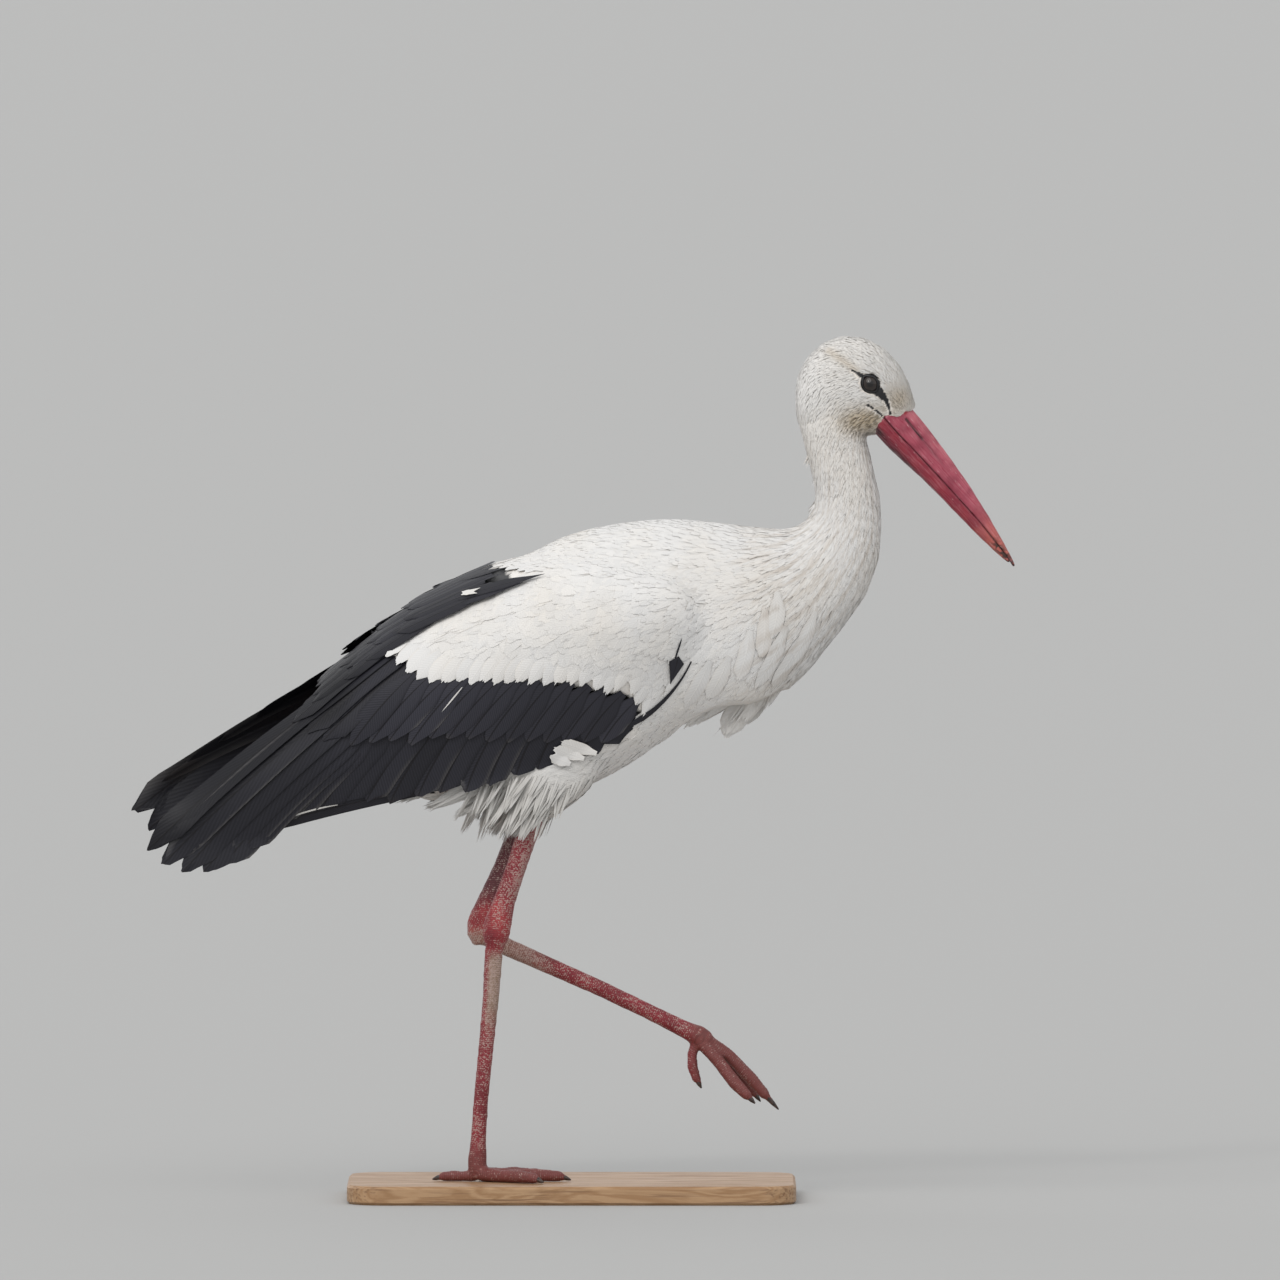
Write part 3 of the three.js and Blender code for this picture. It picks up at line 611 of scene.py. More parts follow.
def white_material(name, barbs, contrast):
    """White feathers, with a faint sheen and a pale shaft."""
    return plumage(name, 0.8, barbs, (0.84, 0.82, 0.78, 0.25), contrast, Sheen_Weight=0.15)


def black_material():
    """Black feathers, with coarser barbs and a low gloss."""
    return plumage("black vanes", 0.48, 190.0, (0.008, 0.007, 0.008, 0.7), 0.28,
                   Specular_IOR_Level=0.24)


def skin_material():
    """Bare skin: small raised scales in rings on the legs, whitened by the chalk value."""
    look = Look("skin", 0.5)
    place = look.place()
    tint = look.read("tint", "Color")
    chalk = look.read("chalk", "Fac")
    bare = look.remap(chalk, 0.0, 0.05, 0.0, 1.0)
    cells = {"Vector": place, "Scale": 950.0, "Randomness": 0.9}
    scales = look.node("TexVoronoi", cells)
    edges = look.node("TexVoronoi", cells, feature="DISTANCE_TO_EDGE")
    patches = look.noise(place, 160.0, 3.0)
    cell = look.node("SeparateColor", {0: scales.outputs["Color"]}).outputs[0]
    ring = look.math("SINE", look.math("MULTIPLY", look.read("reach", "Fac"), 3.3))
    worn = look.math("ADD", cell, look.math("MULTIPLY", patches, 0.7))
    worn = look.math("ADD", worn, look.math("MULTIPLY", ring, 0.12))
    level = look.remap(chalk, 0.0, 1.0, 1.40, 0.30)
    pale = look.remap(look.math("SUBTRACT", worn, level), -0.10, 0.22, 0.0, 0.75)
    colour = look.mix(look.math("MULTIPLY", pale, bare), tint, (0.50, 0.36, 0.32, 1.0))
    groove = look.remap(edges.outputs["Distance"], 0.0, 0.14, 0.60, 1.0)
    groove = look.math("MULTIPLY", groove, look.remap(ring, -1.0, -0.4, 0.75, 1.0))
    groove = look.mix(bare, (1.0, 1.0, 1.0, 1.0), look.grey(groove))
    return look.finish(look.mix(1.0, colour, groove, "MULTIPLY"), groove, 0.6, 0.0006)


def bill_material():
    """Horn with fine streaks along the bill, small blotches and worn pale flecks."""
    look = Look("bill horn", 0.34, Specular_IOR_Level=0.55)
    place = look.place()
    slope = math.atan2(-BILL_ALONG[1], BILL_ALONG[0])
    turned, flecks = [
        look.node("Mapping", {"Vector": place, "Rotation": (0.0, slope, 0.0), "Scale": grain},
                  vector_type="TEXTURE").outputs[0]
        for grain in ((0.030, 0.0013, 0.0013), (0.006, 0.0016, 0.0016))
    ]
    streaks = look.noise(turned, 1.0, 4.0)
    wear = look.noise(flecks, 1.0, 3.0)
    blotches = look.noise(place, 70.0, 3.0)
    tint = look.read("tint", "Color")
    pale = look.remap(streaks, 0.50, 0.74, 0.0, 0.34)
    colour = look.mix(pale, tint, (0.62, 0.27, 0.31, 1.0))
    deep = look.remap(blotches, 0.42, 0.68, 0.0, 0.60)
    colour = look.mix(deep, colour, (0.19, 0.014, 0.036, 1.0))
    colour = look.mix(look.remap(wear, 0.66, 0.76, 0.0, 0.55), colour, (0.72, 0.46, 0.46, 1.0))
    rough = look.remap(streaks, 0.3, 0.8, 0.22, 0.46)
    return look.finish(colour, look.math("ADD", streaks, wear), 0.35, 0.0004, rough)


def claw_material():
    """Dark grained horn."""
    look = Look("claw horn", 0.38)
    place = look.place()
    grain = look.noise(place, 380.0, 3.0)
    share = look.remap(grain, 0.35, 0.7, 0.0, 1.0)
    colour = look.mix(share, (0.018, 0.013, 0.013, 1.0), (0.085, 0.055, 0.045, 1.0))
    return look.finish(colour, grain, 0.2, 0.0003)


def eye_material():
    """A wet eyeball under a clear coat."""
    look = Look("eye", 0.09, Coat_Weight=0.4, Coat_Roughness=0.03, Specular_IOR_Level=0.4)
    place = look.place()
    share = look.remap(look.noise(place, 900.0), 0.3, 0.7, 0.0, 0.35)
    return look.finish(look.mix(share, look.read("tint", "Color"), (0.02, 0.012, 0.009, 1.0)))


def oak_material():
    """Oiled oak with long grain and darker pores."""
    look = Look("oiled oak", 0.45)
    place = look.place()
    long_way = look.node("Mapping", {"Vector": place, "Scale": (1.2, 9.0, 9.0)})
    rings = look.noise(long_way.outputs[0], 5.0, 5.0, 0.6)
    fine = look.node("Mapping", {"Vector": place, "Scale": (14.0, 420.0, 420.0)})
    pores = look.noise(fine.outputs[0], 1.0, 3.0)
    bands = look.math("SINE", look.math("MULTIPLY", rings, 55.0))
    share = look.remap(bands, -1.0, 1.0, 0.0, 1.0)
    colour = look.mix(share, (0.32, 0.18, 0.085, 1.0), (0.42, 0.26, 0.14, 1.0))
    dark = look.remap(pores, 0.52, 0.68, 0.0, 0.7)
    colour = look.mix(dark, colour, (0.15, 0.075, 0.035, 1.0))
    rough = look.remap(pores, 0.4, 0.7, 0.38, 0.6)
    height = look.math("SUBTRACT", bands, look.math("MULTIPLY", dark, 2.0))
    return look.finish(colour, height, 0.12, 0.0004, rough)


# ---------------------------------------------------------------- camera, floor and light

FRAME_CENTRE = (65.5, 536.5)
FRAME_SIZE = 1228.8
CAMERA_DISTANCE = 20000.0
CAMERA_ELEVATION = 2.0
SENSOR = 36.0
CLIP_END = 6000
FLOOR_RADIUS, FLOOR_SIDES = 4000000.0, 96
FLOOR_GREY = (0.44, 0.44, 0.435, 1.0)
WARM = (1.0, 0.98, 0.955)


def make_camera():
    """A far camera with a long lens, nearly level, that sees the bird from its right side."""
    data = bpy.data.cameras.new("camera")
    camera = bpy.data.objects.new("camera", data)
    bpy.context.scene.collection.objects.link(camera)
    lean = math.radians(CAMERA_ELEVATION)
    camera.location = (FRAME_CENTRE[0] * MM, -CAMERA_DISTANCE * math.cos(lean) * MM,
                       (FRAME_CENTRE[1] + CAMERA_DISTANCE * math.sin(lean)) * MM)
    camera.rotation_euler = (math.pi / 2 - lean, 0, 0)
    data.sensor_width = SENSOR
    data.lens = SENSOR * CAMERA_DISTANCE / FRAME_SIZE
    data.clip_end = CLIP_END
    bpy.context.scene.camera = camera


def make_floor():
    """A pale floor out to the horizon."""
    turns = np.linspace(0, 2 * math.pi, FLOOR_SIDES, endpoint=False)
    x, y = FLOOR_RADIUS * np.cos(turns), FLOOR_RADIUS * np.sin(turns)
    ring = np.stack([x, y, np.zeros(FLOOR_SIDES)], axis=1)
    floor = new_object("floor", ring, [np.arange(FLOOR_SIDES)[None]])
    look = Look("pale floor", 0.9, Base_Color=FLOOR_GREY)
    floor.data.materials.append(look.material)
    floor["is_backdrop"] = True


def soft_sun(name, heading, power, softness, colour=(1, 1, 1)):
    """A wide soft light from a direction, even over the whole floor."""
    data = bpy.data.lights.new(name, "SUN")
    data.energy, data.angle, data.color = power, math.radians(softness), colour
    light = bpy.data.objects.new(name, data)
    light.rotation_euler = (-Vector(heading)).to_track_quat("-Z", "Y").to_euler()
    bpy.context.scene.collection.objects.link(light)


def make_light():
    """Four soft suns and an even sky."""
    world = bpy.data.worlds.new("studio")
    bpy.context.scene.world = world
    world.use_nodes = True
    background = world.node_tree.nodes["Background"]
    background.inputs["Color"].default_value = (0.97, 0.985, 1.0, 1)
    background.inputs["Strength"].default_value = 0.58
    soft_sun("key", (-0.35, -0.85, 0.86), 1.42, 60, WARM)
    soft_sun("glint", (-0.45, -0.85, 0.75), 0.30, 9, WARM)
    soft_sun("fill", (1.0, -0.8, 0.4), 0.30, 90)
    soft_sun("rim", (-0.3, 1.0, 0.8), 0.45, 60)
    bpy.context.scene.view_settings.view_transform = "Standard"


# ---------------------------------------------------------------- the lie of the coat
# x, z, heading in degrees (180 back, 270 down), length, width, spacing, depth of the coat

BODY_LIE = [
    (322, 790, 112, 5, 1.1, 1.5, 1.2), (312, 812, 138, 6, 1.3, 1.7, 1.4),
    (285, 827, 168, 8, 1.5, 1.9, 1.6), (255, 829, 184, 9, 1.5, 1.9, 1.7),
    (228, 810, 225, 10, 1.6, 2, 1.8), (217, 785, 262, 13, 1.8, 2.2, 1.7),
    (300, 800, 138, 6, 1.2, 1.6, 1.4), (270, 808, 165, 7.5, 1.4, 1.8, 1.6),
    (250, 790, 205, 9, 1.5, 1.9, 1.7), (235, 770, 246, 12, 1.7, 2.2, 1.7),
    (310, 775, 128, 4, 1, 1.4, 1.1), (318, 765, 125, 3.5, 0.9, 1.3, 1),
    (262, 775, 208, 9, 1.4, 1.9, 1.6), (285, 765, 205, 6, 1.2, 1.6, 1.3),
    (297, 747, 205, 5, 1.1, 1.5, 1.3), (270, 752, 215, 9, 1.4, 1.9, 1.8),
    (250, 750, 248, 14, 1.7, 2.2, 1.8), (300, 737, 215, 5.5, 1.1, 1.6, 1.5),
    (278, 736, 225, 10, 1.4, 2, 1.8), (225, 735, 268, 22, 2.4, 2.2, 2.2),
    (240, 715, 266, 26, 2.6, 2.4, 2.3), (278, 712, 262, 22, 2.4, 2.2, 2.2),
    (230, 700, 270, 28, 2.9, 2.4, 2.3), (287, 690, 268, 26, 2.6, 2.4, 2.3),
    (240, 670, 260, 32, 3.1, 2.6, 2.4), (292, 660, 268, 30, 2.9, 2.5, 2.4),
    (292, 630, 261, 35, 3.1, 2.7, 2.5), (265, 640, 254, 35, 3.1, 2.7, 2.5),
    (225, 630, 232, 32, 3.5, 2.9, 2.6), (233, 675, 255, 28, 3.1, 2.6, 2.4),
    (221, 655, 215, 26, 3.3, 2.8, 2.5), (200, 645, 186, 28, 4, 3.2, 2.6),
    (150, 650, 180, 32, 6.8, 3.8, 2.9), (100, 652, 181, 32, 8.1, 4.1, 3),
    (46, 645, 187, 32, 9.5, 4.5, 3), (-11, 621, 197, 34, 10.8, 4.8, 3),
    (-59, 598, 204, 37, 12.2, 5.2, 3), (-120, 565, 208, 39, 12.2, 5.6, 3),
    (200, 612, 212, 30, 4.6, 3.5, 2.9), (160, 605, 203, 32, 8.8, 4.3, 3),
    (130, 600, 205, 30, 10.8, 4.8, 3), (200, 570, 226, 37, 7.4, 4.1, 3),
    (240, 580, 238, 37, 3.7, 3.2, 2.9), (272, 590, 243, 35, 3.1, 2.8, 2.8),
    (272, 560, 238, 35, 3.3, 3, 2.9), (250, 535, 230, 37, 3.7, 3.4, 3),
    (220, 512, 226, 37, 4.6, 3.8, 3.1), (180, 530, 224, 39, 10.8, 4.8, 3.1),
    (150, 545, 222, 37, 12.2, 5.2, 3.1), (190, 485, 222, 39, 8.1, 4.5, 3.1),
    (160, 475, 226, 39, 10.8, 4.8, 3.1), (135, 490, 220, 37, 12.2, 5.2, 3.1),
    (120, 505, 216, 34, 12.2, 5.2, 3.1), (100, 450, 203, 37, 10.8, 5, 3.1),
    (60, 425, 194, 39, 10.8, 5.2, 3.1), (0, 400, 190, 41, 10.8, 5.2, 3.1),
    (-60, 385, 188, 44, 10.8, 5.3, 3.1), (-130, 385, 182, 46, 10.8, 5.5, 3.1),
    (-200, 415, 178, 41, 10.8, 5.5, 2.9), (-20, 380, 246, 39, 8.1, 4.3, 2.9),
    (-45, 360, 262, 35, 5, 3.5, 2.6), (5, 395, 222, 41, 9.5, 4.6, 3),
]
LENGTH, WIDTH, SPACING, DEPTH = range(4)


# ---------------------------------------------------------------- skin

SKIN_VOXEL, HEAD_VOXEL, LEG_VOXEL = 4.2, 1.3, 1.45
WING_TUCK = np.array([0.0, 1.2, -1.2])
SIDES = {"right": -1, "left": 1}
TOES = ["middle", "inner", "outer", "hind"]
THIGH_MIDDLE, THIGH_SLIM = 43.0, 0.72
# how many rounds of smoothing each voxel surface gets
BODY_ROUNDS, HEAD_ROUNDS, LEG_ROUNDS, BILL_ROUNDS, CLAW_ROUNDS = 14, 36, 15, 8, 5

# colours of bare skin, horn and eyes, in linear red, green and blue
UNDER_WHITE, UNDER_BLACK = (0.82, 0.79, 0.75), (0.02, 0.02, 0.022)
FACE_SKIN, BILL_SKIN, BLACK_SKIN = (0.80, 0.75, 0.69), (0.40, 0.045, 0.062), (0.006, 0.006, 0.008)
LEG_RED, ANKLE_RED, SHADED_SHANK = (0.26, 0.014, 0.026), (0.34, 0.026, 0.032), (0.10, 0.028, 0.034)
FOOT_BROWN, CHALKY = (0.19, 0.055, 0.046), (0.33, 0.26, 0.18)
# the upper bill's lighter ridge colour here is a painted highlight
UPPER_HORN, LOWER_HORN, RIDGE_HIGHLIGHT = (0.38, 0.062, 0.098), (0.28, 0.024, 0.042), (0.54, 0.15, 0.18)
# the dark underside colour here is painted shade under the lower bill's root
UNDER_BILL_SHADE, HORN_TIP, MOUTH = (0.045, 0.010, 0.014), (0.50, 0.13, 0.10), (0.04, 0.008, 0.010)
MUD, NOSTRIL = (0.026, 0.016, 0.012), (0.03, 0.008, 0.01)
IRIS, PUPIL, EYE_RIM = (0.022, 0.015, 0.012), (0.003, 0.003, 0.004), (0.012, 0.009, 0.009)


def all_over(colour, points):
    """One colour for every point, to be worked on."""
    return np.tile(np.array(colour), (len(points), 1))


def blend_to(colour, other, share):
    """Colours moved towards another by a share for each point."""
    return colour * (1 - share[:, None]) + np.array(other) * share[:, None]


def tucked(name, points):
    """The wings' plates moved in to leave room for feathers, and the thighs kept behind them."""
    side = SIDES.get(name.rpartition("_")[2])
    if side is None:
        return points
    moved = points.copy()
    if name.startswith("thigh"):
        moved[:, 1] = side * (THIGH_MIDDLE + (side * points[:, 1] - THIGH_MIDDLE) * THIGH_SLIM)
        return moved
    return moved + WING_TUCK * np.array([1, -side, 1])


# lines of bare black skin behind and before the eye and along the gape, each with half its width
FACE_BANDS = [
    (((280, 789), (275, 792.5)), 1.7), (((275, 792.5), (269, 796)), 0.8),
    (((289, 780), (294, 775.5)), 4.6), (((294, 775.5), (298.5, 771)), 3.4),
    (((298.5, 771), (301.5, 767)), 2.3), (((301.5, 767), (303.5, 762)), 1.5),
    (((303.5, 763), (305.5, 754)), 0.8), (((283.5, 763), (295.9, 754.4), (305, 744)), 0.75),
]


def bare_face(places, grow):
    """How far outside the bare black skin round the eye, and the dark gape line, each (x, z) is."""
    away = places - np.array(EYE)
    lengthwise = away @ np.array([-0.616, 0.788])
    crosswise = away @ np.array([0.788, 0.616])
    nearest = (np.hypot(lengthwise / 9.8, crosswise / 8.2) - 1) * 8.6
    for line, half in FACE_BANDS:
        nearest = np.minimum(nearest, off_line(places, line) - half)
    return nearest - grow


def in_bill(places):
    """Places in the bill's own frame: along it from its root, and up from the mouth line."""
    away = places - np.array(BILL_ROOT)
    return away @ np.array(BILL_ALONG), away @ np.array(BILL_UP)


# the edge of the feathers round the bill: how high above the mouth line, and how far along the bill
BILL_EDGE = np.array([
    (-19, -7), (-8, -1.5), (-1.2, -6), (-0.2, -16), (7.4, -10), (12.6, -4.3), (19.4, -4.8),
    (26.6, 1.5), (32, 3),
], float)


def bare_bill(places):
    """Where the horn and the red skin at its root are bare of feathers."""
    u, v = in_bill(places)
    return (u > np.interp(v, *BILL_EDGE.T)) & (v > BILL_EDGE[0, 0]) & (v < BILL_EDGE[-1, 0])


FOOT_CENTRE = {"right": np.array([-90.5, -35.0, 24.0]), "left": np.array([124.0, 36.0, 152.0])}
ANKLE = {"right": np.array([-75.0, -35.0, 258.0]), "left": np.array([-80.0, 36.0, 256.0])}
SCUTE_PITCH = 3.4


def leg_reach(points, side):
    """How far down the leg each point is: along the tibia, then the tarsus, then each toe."""
    ankle, foot = ANKLE[side], FOOT_CENTRE[side]
    down = unit(foot - ankle)
    reach = (points - ankle) @ down
    above = points[:, 2] > ankle[2] + 12
    reach[above] = ankle[2] - points[above, 2]
    out = np.linalg.norm(points - foot, axis=1)
    on_foot = (points - foot) @ down > -8
    reach[on_foot] = np.linalg.norm(foot - ankle) + out[on_foot]
    return reach, out * on_foot


def leg_tint(points, normals, side):
    """Red skin of the legs, brighter at the ankles, browner on the feet, with how white it is."""
    z, x = points[:, 2], points[:, 0]
    front = normals[:, 0]
    ankle = np.exp(-(((x - ANKLE[side][0]) / 24) ** 2 + ((z - 262) / 22) ** 2))
    rough = waves(points, 26, 5)
    colour = blend_to(all_over(LEG_RED, points), ANKLE_RED,
                      np.clip(ankle * (0.8 + 0.7 * rough), 0, 1))
    colour = colour * (1 + 0.14 * rough[:, None])
    shank = ramp(z, 274, 300)
    foot = 1 - ramp(z, 30, 66) if side == "right" else ramp(x, 104, 124)
    if side == "right":
        beige = ramp(z, 150, 195) * (1 - ramp(z, 228, 244)) * ramp(front, -0.7, -0.1)
        chalk = 0.36 + 0.28 * beige + 0.32 * shank * ramp(front, -0.2, 0.6)
    else:
        beige = (1 - ramp(x, -52, -8)) * (1 - ramp(z, 250, 262)) * 0.6
        chalk = 0.32 + 0.50 * beige - 0.08 * shank
        colour = blend_to(colour, SHADED_SHANK, 0.8 * shank)
    chalk = np.clip(chalk - 0.36 * foot - 0.16 * ankle + 0.10 * rough, 0.06, 1)
    colour = blend_to(colour, FOOT_BROWN, 0.80 * foot)
    return blend_to(colour, CHALKY, 0.80 * beige), chalk


def scutes(points, normals, side):
    """The plates on top of the toes and the wrinkles of the ankle, as a height for each point."""
    reach, out = leg_reach(points, side)
    upper = normals[:, 2] if side == "right" else normals @ unit(np.array([0.75, 0.0, 0.66]))
    plates = 0.30 * np.abs(np.sin(math.pi * out / SCUTE_PITCH))
    plates = plates * ramp(upper, 0.0, 0.5) * ramp(out, 10, 16)
    near = np.exp(-(np.linalg.norm(points - ANKLE[side], axis=1) / 17) ** 2)
    wrinkles = 0.22 * near * np.sin(reach * 1.5 + 2 * waves(points, 16, 8))
    return plates + wrinkles + 0.12 * waves(points, 9, 12)


STUB, CLAW_SHARE = 0.50, 0.76


def drawn_back(share):
    """Shortens claws towards their toes to a share of their length."""
    def shift(name, points):
        if not name.startswith("claw"):
            return points
        toe = mesh_arrays(NODES[name.replace("claw", "toe")].data)[0].mean(axis=0)
        ahead = unit(points.mean(axis=0) - toe)
        reach = (points - toe) @ ahead
        return points - ahead * ((reach - reach.min()) * (1 - share))[:, None]
    return shift


# the top line of the folded wing, and how far below it the back between the wings is still black
RIDGE = np.array([
    (-410, 322), (-357, 376), (-309, 419), (-261, 455), (-222, 477), (-190, 520), (-150, 556),
    (-110, 580), (-70, 600),
], float)
BLACK_FROM, BLACK_DEEP = -62.0, 48.0
BLACK_OUTLINE = [
    (-52, 592), (-78, 577), (-117, 570), (-155, 506), (-136, 498), (-11, 497), (30, 489), (54, 486),
    (68, 466), (40, 430), (-430, 300), (-430, 420), (-200, 560), (-100, 640),
]


def on_black_back(points):
    """Which points lie on the back between the wings, behind the front of its black feathers."""
    return (points[:, 0] < BLACK_FROM) & (above_line(points, RIDGE) > -BLACK_DEEP)


def skin_tint(points):
    """The body's skin under the coat: pale, black where the feathers over it are black."""
    colour = all_over(UNDER_WHITE, points)
    colour[inside(side_view(points), BLACK_OUTLINE) | on_black_back(points)] = UNDER_BLACK
    return colour


BROW = [(247, 814), (260, 805), (272, 796)]
JAW = [(247, 750), (257, 744), (268, 738.5), (280, 735.5), (292, 733.5)]


def face_folds(points):
    """The creases over the eye and under the cheek, as a depth for each point."""
    places = side_view(points)
    brow = np.exp(-(off_line(places, BROW) / 2.2) ** 2)
    jaw = np.exp(-(off_line(places, JAW) / 2.6) ** 2)
    return (0.7 * brow + 1.3 * jaw) * (np.abs(points[:, 1]) > 6)


def face_tint(points):
    """The head's skin: pale, red round the bill and black round the eye."""
    places = side_view(points)
    colour = all_over(FACE_SKIN, points)
    colour[bare_bill(places)] = BILL_SKIN
    colour[bare_face(places, 0.4) < 0] = BLACK_SKIN
    return colour


def eye_front(reach, gap):
    """How far to the side the eyeball's surface is, at a distance from the eye's axis."""
    radius = EYE_RADIUS + gap
    return EYE_SIDE + np.sqrt(np.maximum(radius ** 2 - reach ** 2, 0.5))


LID_SIDES = 72
LID_CORNER = 128.0  # the way that the corners of the eye point, in degrees
# the rows of the band: how far outward each is, and how high off the eyeball
LID_ROWS = [(-0.5, 0.1), (-0.35, 0.5), (0.05, 0.75), (0.6, 0.7), (1.2, 0.2), (1.7, -0.8)]


def lids(side):
    """The rims of the two lids: an open band on the eyeball, drawn out to a corner at each end."""
    turns = np.linspace(0, 2 * math.pi, LID_SIDES, endpoint=False)
    drawn = np.abs(np.cos(turns - math.radians(LID_CORNER)))
    reach = 7.1 + 0.5 * drawn ** 2 + 1.2 * drawn ** 12
    rows = []
    for out, lift in LID_ROWS:
        ring = reach + out * (1 + 0.5 * drawn)
        depth = eye_front(np.minimum(ring, 8.2), lift) - np.maximum(ring - 8.2, 0) * 0.3
        x, z = EYE[0] + ring * np.cos(turns), EYE[1] + ring * np.sin(turns)
        rows.append(np.stack([x, side * depth, z], axis=1))
    points = np.concatenate(rows)
    quads = ring_quads(np.arange(len(points)).reshape(len(rows), -1))
    return points, quads if side > 0 else quads[:, ::-1]


BREAST_LINE = np.array([
    (96, 452), (112, 466), (130, 477), (150, 481), (168, 480), (190, 488), (204, 500),
], float)
BODY_LIFT, FACE_SINK, SKIN_RISE, LIMB_FULLER = 1.3, 3.0, 1.1, 0.50
BREAST_TUCK = 0.85
SEAM = np.array([(214, 748), (245, 745), (262, 733), (280, 724), (305, 720)], float)


def over_seam(points):
    """How high each point is above the line where the head's coat gives way to the neck's."""
    return above_line(points, SEAM)


def skin_shell(points, quads, colours, chalk=0.0, reach=0.0):
    """One shell of the skin: mesh, colours, how chalky each point is and how far down the leg."""
    own = np.ones(len(points))
    return points, quads, colours, own * chalk, own * reach


def body_shell(flesh):
    """The skin of the trunk and neck, sunk by the coat's depth.
    Gives (points, normals, quads, how far each point is under the face)."""
    plates = [f"{part}_{name}" for part in ("coverts", "scapulars") for name in SIDES]
    body, normals, quads = fused(flesh + plates, SKIN_VOXEL, BODY_ROUNDS, tucked)
    depth = guided(body, BODY_LIE)[1][:, DEPTH]
    under_face = ramp(over_seam(body), -4, 8)
    depth = depth - BODY_LIFT + (BODY_LIFT + FACE_SINK) * under_face
    body = body - normals * depth[:, None]
    hang = np.interp(body[:, 0], *BREAST_LINE.T)
    over_line = (body[:, 0] > BREAST_LINE[0, 0]) & (body[:, 0] < BREAST_LINE[-1, 0])
    body[:, 2] += np.where(over_line & (body[:, 2] < hang), BREAST_TUCK * (hang - body[:, 2]), 0)
    return body, normals, quads, under_face


def make_skin():
    """One piece of skin, inside the CAD shape by the coat's depth.
    It is four closed shells that run into each other under the coat, for the trunk and neck, the
    head and the two legs, and an open band of lid round each eye."""
    flesh = ["trunk", "neck_lower", "neck_middle", "neck_upper", "head"]
    flesh += ["thigh_right", "thigh_left"]
    body, normals, quads, under_face = body_shell(flesh)
    face, face_normals, face_quads = fused(["head", "neck_upper"], HEAD_VOXEL, HEAD_ROUNDS)
    depth = guided(face, BODY_LIE)[1][:, DEPTH] - 0.3 + face_folds(face)
    depth = depth + 1.2 * bare_bill(side_view(face))
    face = face - face_normals * depth[:, None]
    grounds = {"body": Ground(body, normals, quads), "face": Ground(face, face_normals, face_quads)}

    body_tint = skin_tint(body)
    rises = SKIN_RISE * (1 - under_face) * (body_tint[:, 0] > 0.1)
    shells = [skin_shell(body + normals * rises[:, None], quads, body_tint),
              skin_shell(face, face_quads, face_tint(face))]
    for name, side in SIDES.items():
        rims, rim_quads = lids(side)
        shells.append(skin_shell(rims, rim_quads, all_over(BLACK_SKIN, rims)))
        leg = [f"shank_{name}", f"tarsus_{name}"]
        leg += [f"{part}_{toe}_{name}" for toe in TOES for part in ("toe", "claw")]
        limb, limb_normals, limb_quads = fused(leg, LEG_VOXEL, LEG_ROUNDS, drawn_back(STUB))
        limb = limb + limb_normals * (LIMB_FULLER + scutes(limb, limb_normals, name))[:, None]
        colour, chalk = leg_tint(limb, limb_normals, name)
        shells.append(skin_shell(limb, limb_quads, colour, chalk, leg_reach(limb, name)[0]))
    points, quads, colours, chalk, reach = zip(*shells)
    starts = np.cumsum([0] + [len(own) for own in points])
    skin = new_object("skin", np.concatenate(points),
                      [own + start for own, start in zip(quads, starts)])
    add_colours(skin, np.concatenate(colours))
    add_values(skin, "chalk", np.concatenate(chalk)[:, None])
    add_values(skin, "reach", np.concatenate(reach)[:, None])
    parts = ["shank", "tarsus"] + [f"toe_{toe}" for toe in TOES]
    limbs = [f"{part}_{name}" for name in SIDES for part in parts]
    dress(skin, "leg_skin", skin_material(), flesh + limbs)
    return grounds


# ---------------------------------------------------------------- bill, eyes, claws and base

ROOT_REACH, ROOT_FLARE = 12.0, 1.24


def rooted(name, points):
    """The horn's root carried back under the skin of the face."""
    u = in_bill(side_view(points))[0]
    root = u < 4
    back = np.array([BILL_ALONG[0], 0, BILL_ALONG[1]])
    moved = points - np.where(root, ROOT_REACH, 0)[:, None] * back
    moved[root, 1] *= ROOT_FLARE
    return moved


# the mouth line: how far along the bill, and how high above its straight axis there
MOUTH_LINE = ((0, 12, 28, 58, 91, 124, 147, 163, 176), (0, 0.3, 1.3, 2.4, 3.2, 3.7, 2.6, 1.9, 0.4))


def bill_tint(points, upper):
    u, v = in_bill(side_view(points))
    colour = all_over(UPPER_HORN if upper else LOWER_HORN, points)
    if upper:
        # Painted highlight along the top of the upper bill.
        ridge = ramp(v, 15, 24) * (1 - ramp(u, 120, 170))
        colour = blend_to(colour, RIDGE_HIGHLIGHT, 0.8 * ridge)
    else:
        # Painted shade under the root of the lower bill.
        under = ramp(-v, 7, 12.5) * (1 - ramp(u, 45, 85)) * (waves(points, 22, 6) * 0.25 + 0.85)
        colour = blend_to(colour, UNDER_BILL_SHADE, np.clip(under, 0, 1))
    colour = blend_to(colour, HORN_TIP, ramp(u, 95, 165))
    mouth = np.exp(-((v - np.interp(u, *MOUTH_LINE)) / 1.0) ** 2) * 0.95
    colour = blend_to(colour, MOUTH, mouth)
    mud = ramp(u, 138, 152) * np.exp(-((v - 1.0) / 4.6) ** 2)
    mud = mud * ramp(waves(points, 3.6, 9), -0.7, -0.1)
    return blend_to(colour, MUD, 0.97 * mud)


BILL_VOXEL, BILL_FULLER = 0.95, 0.38
CLAW_VOXEL = 0.7


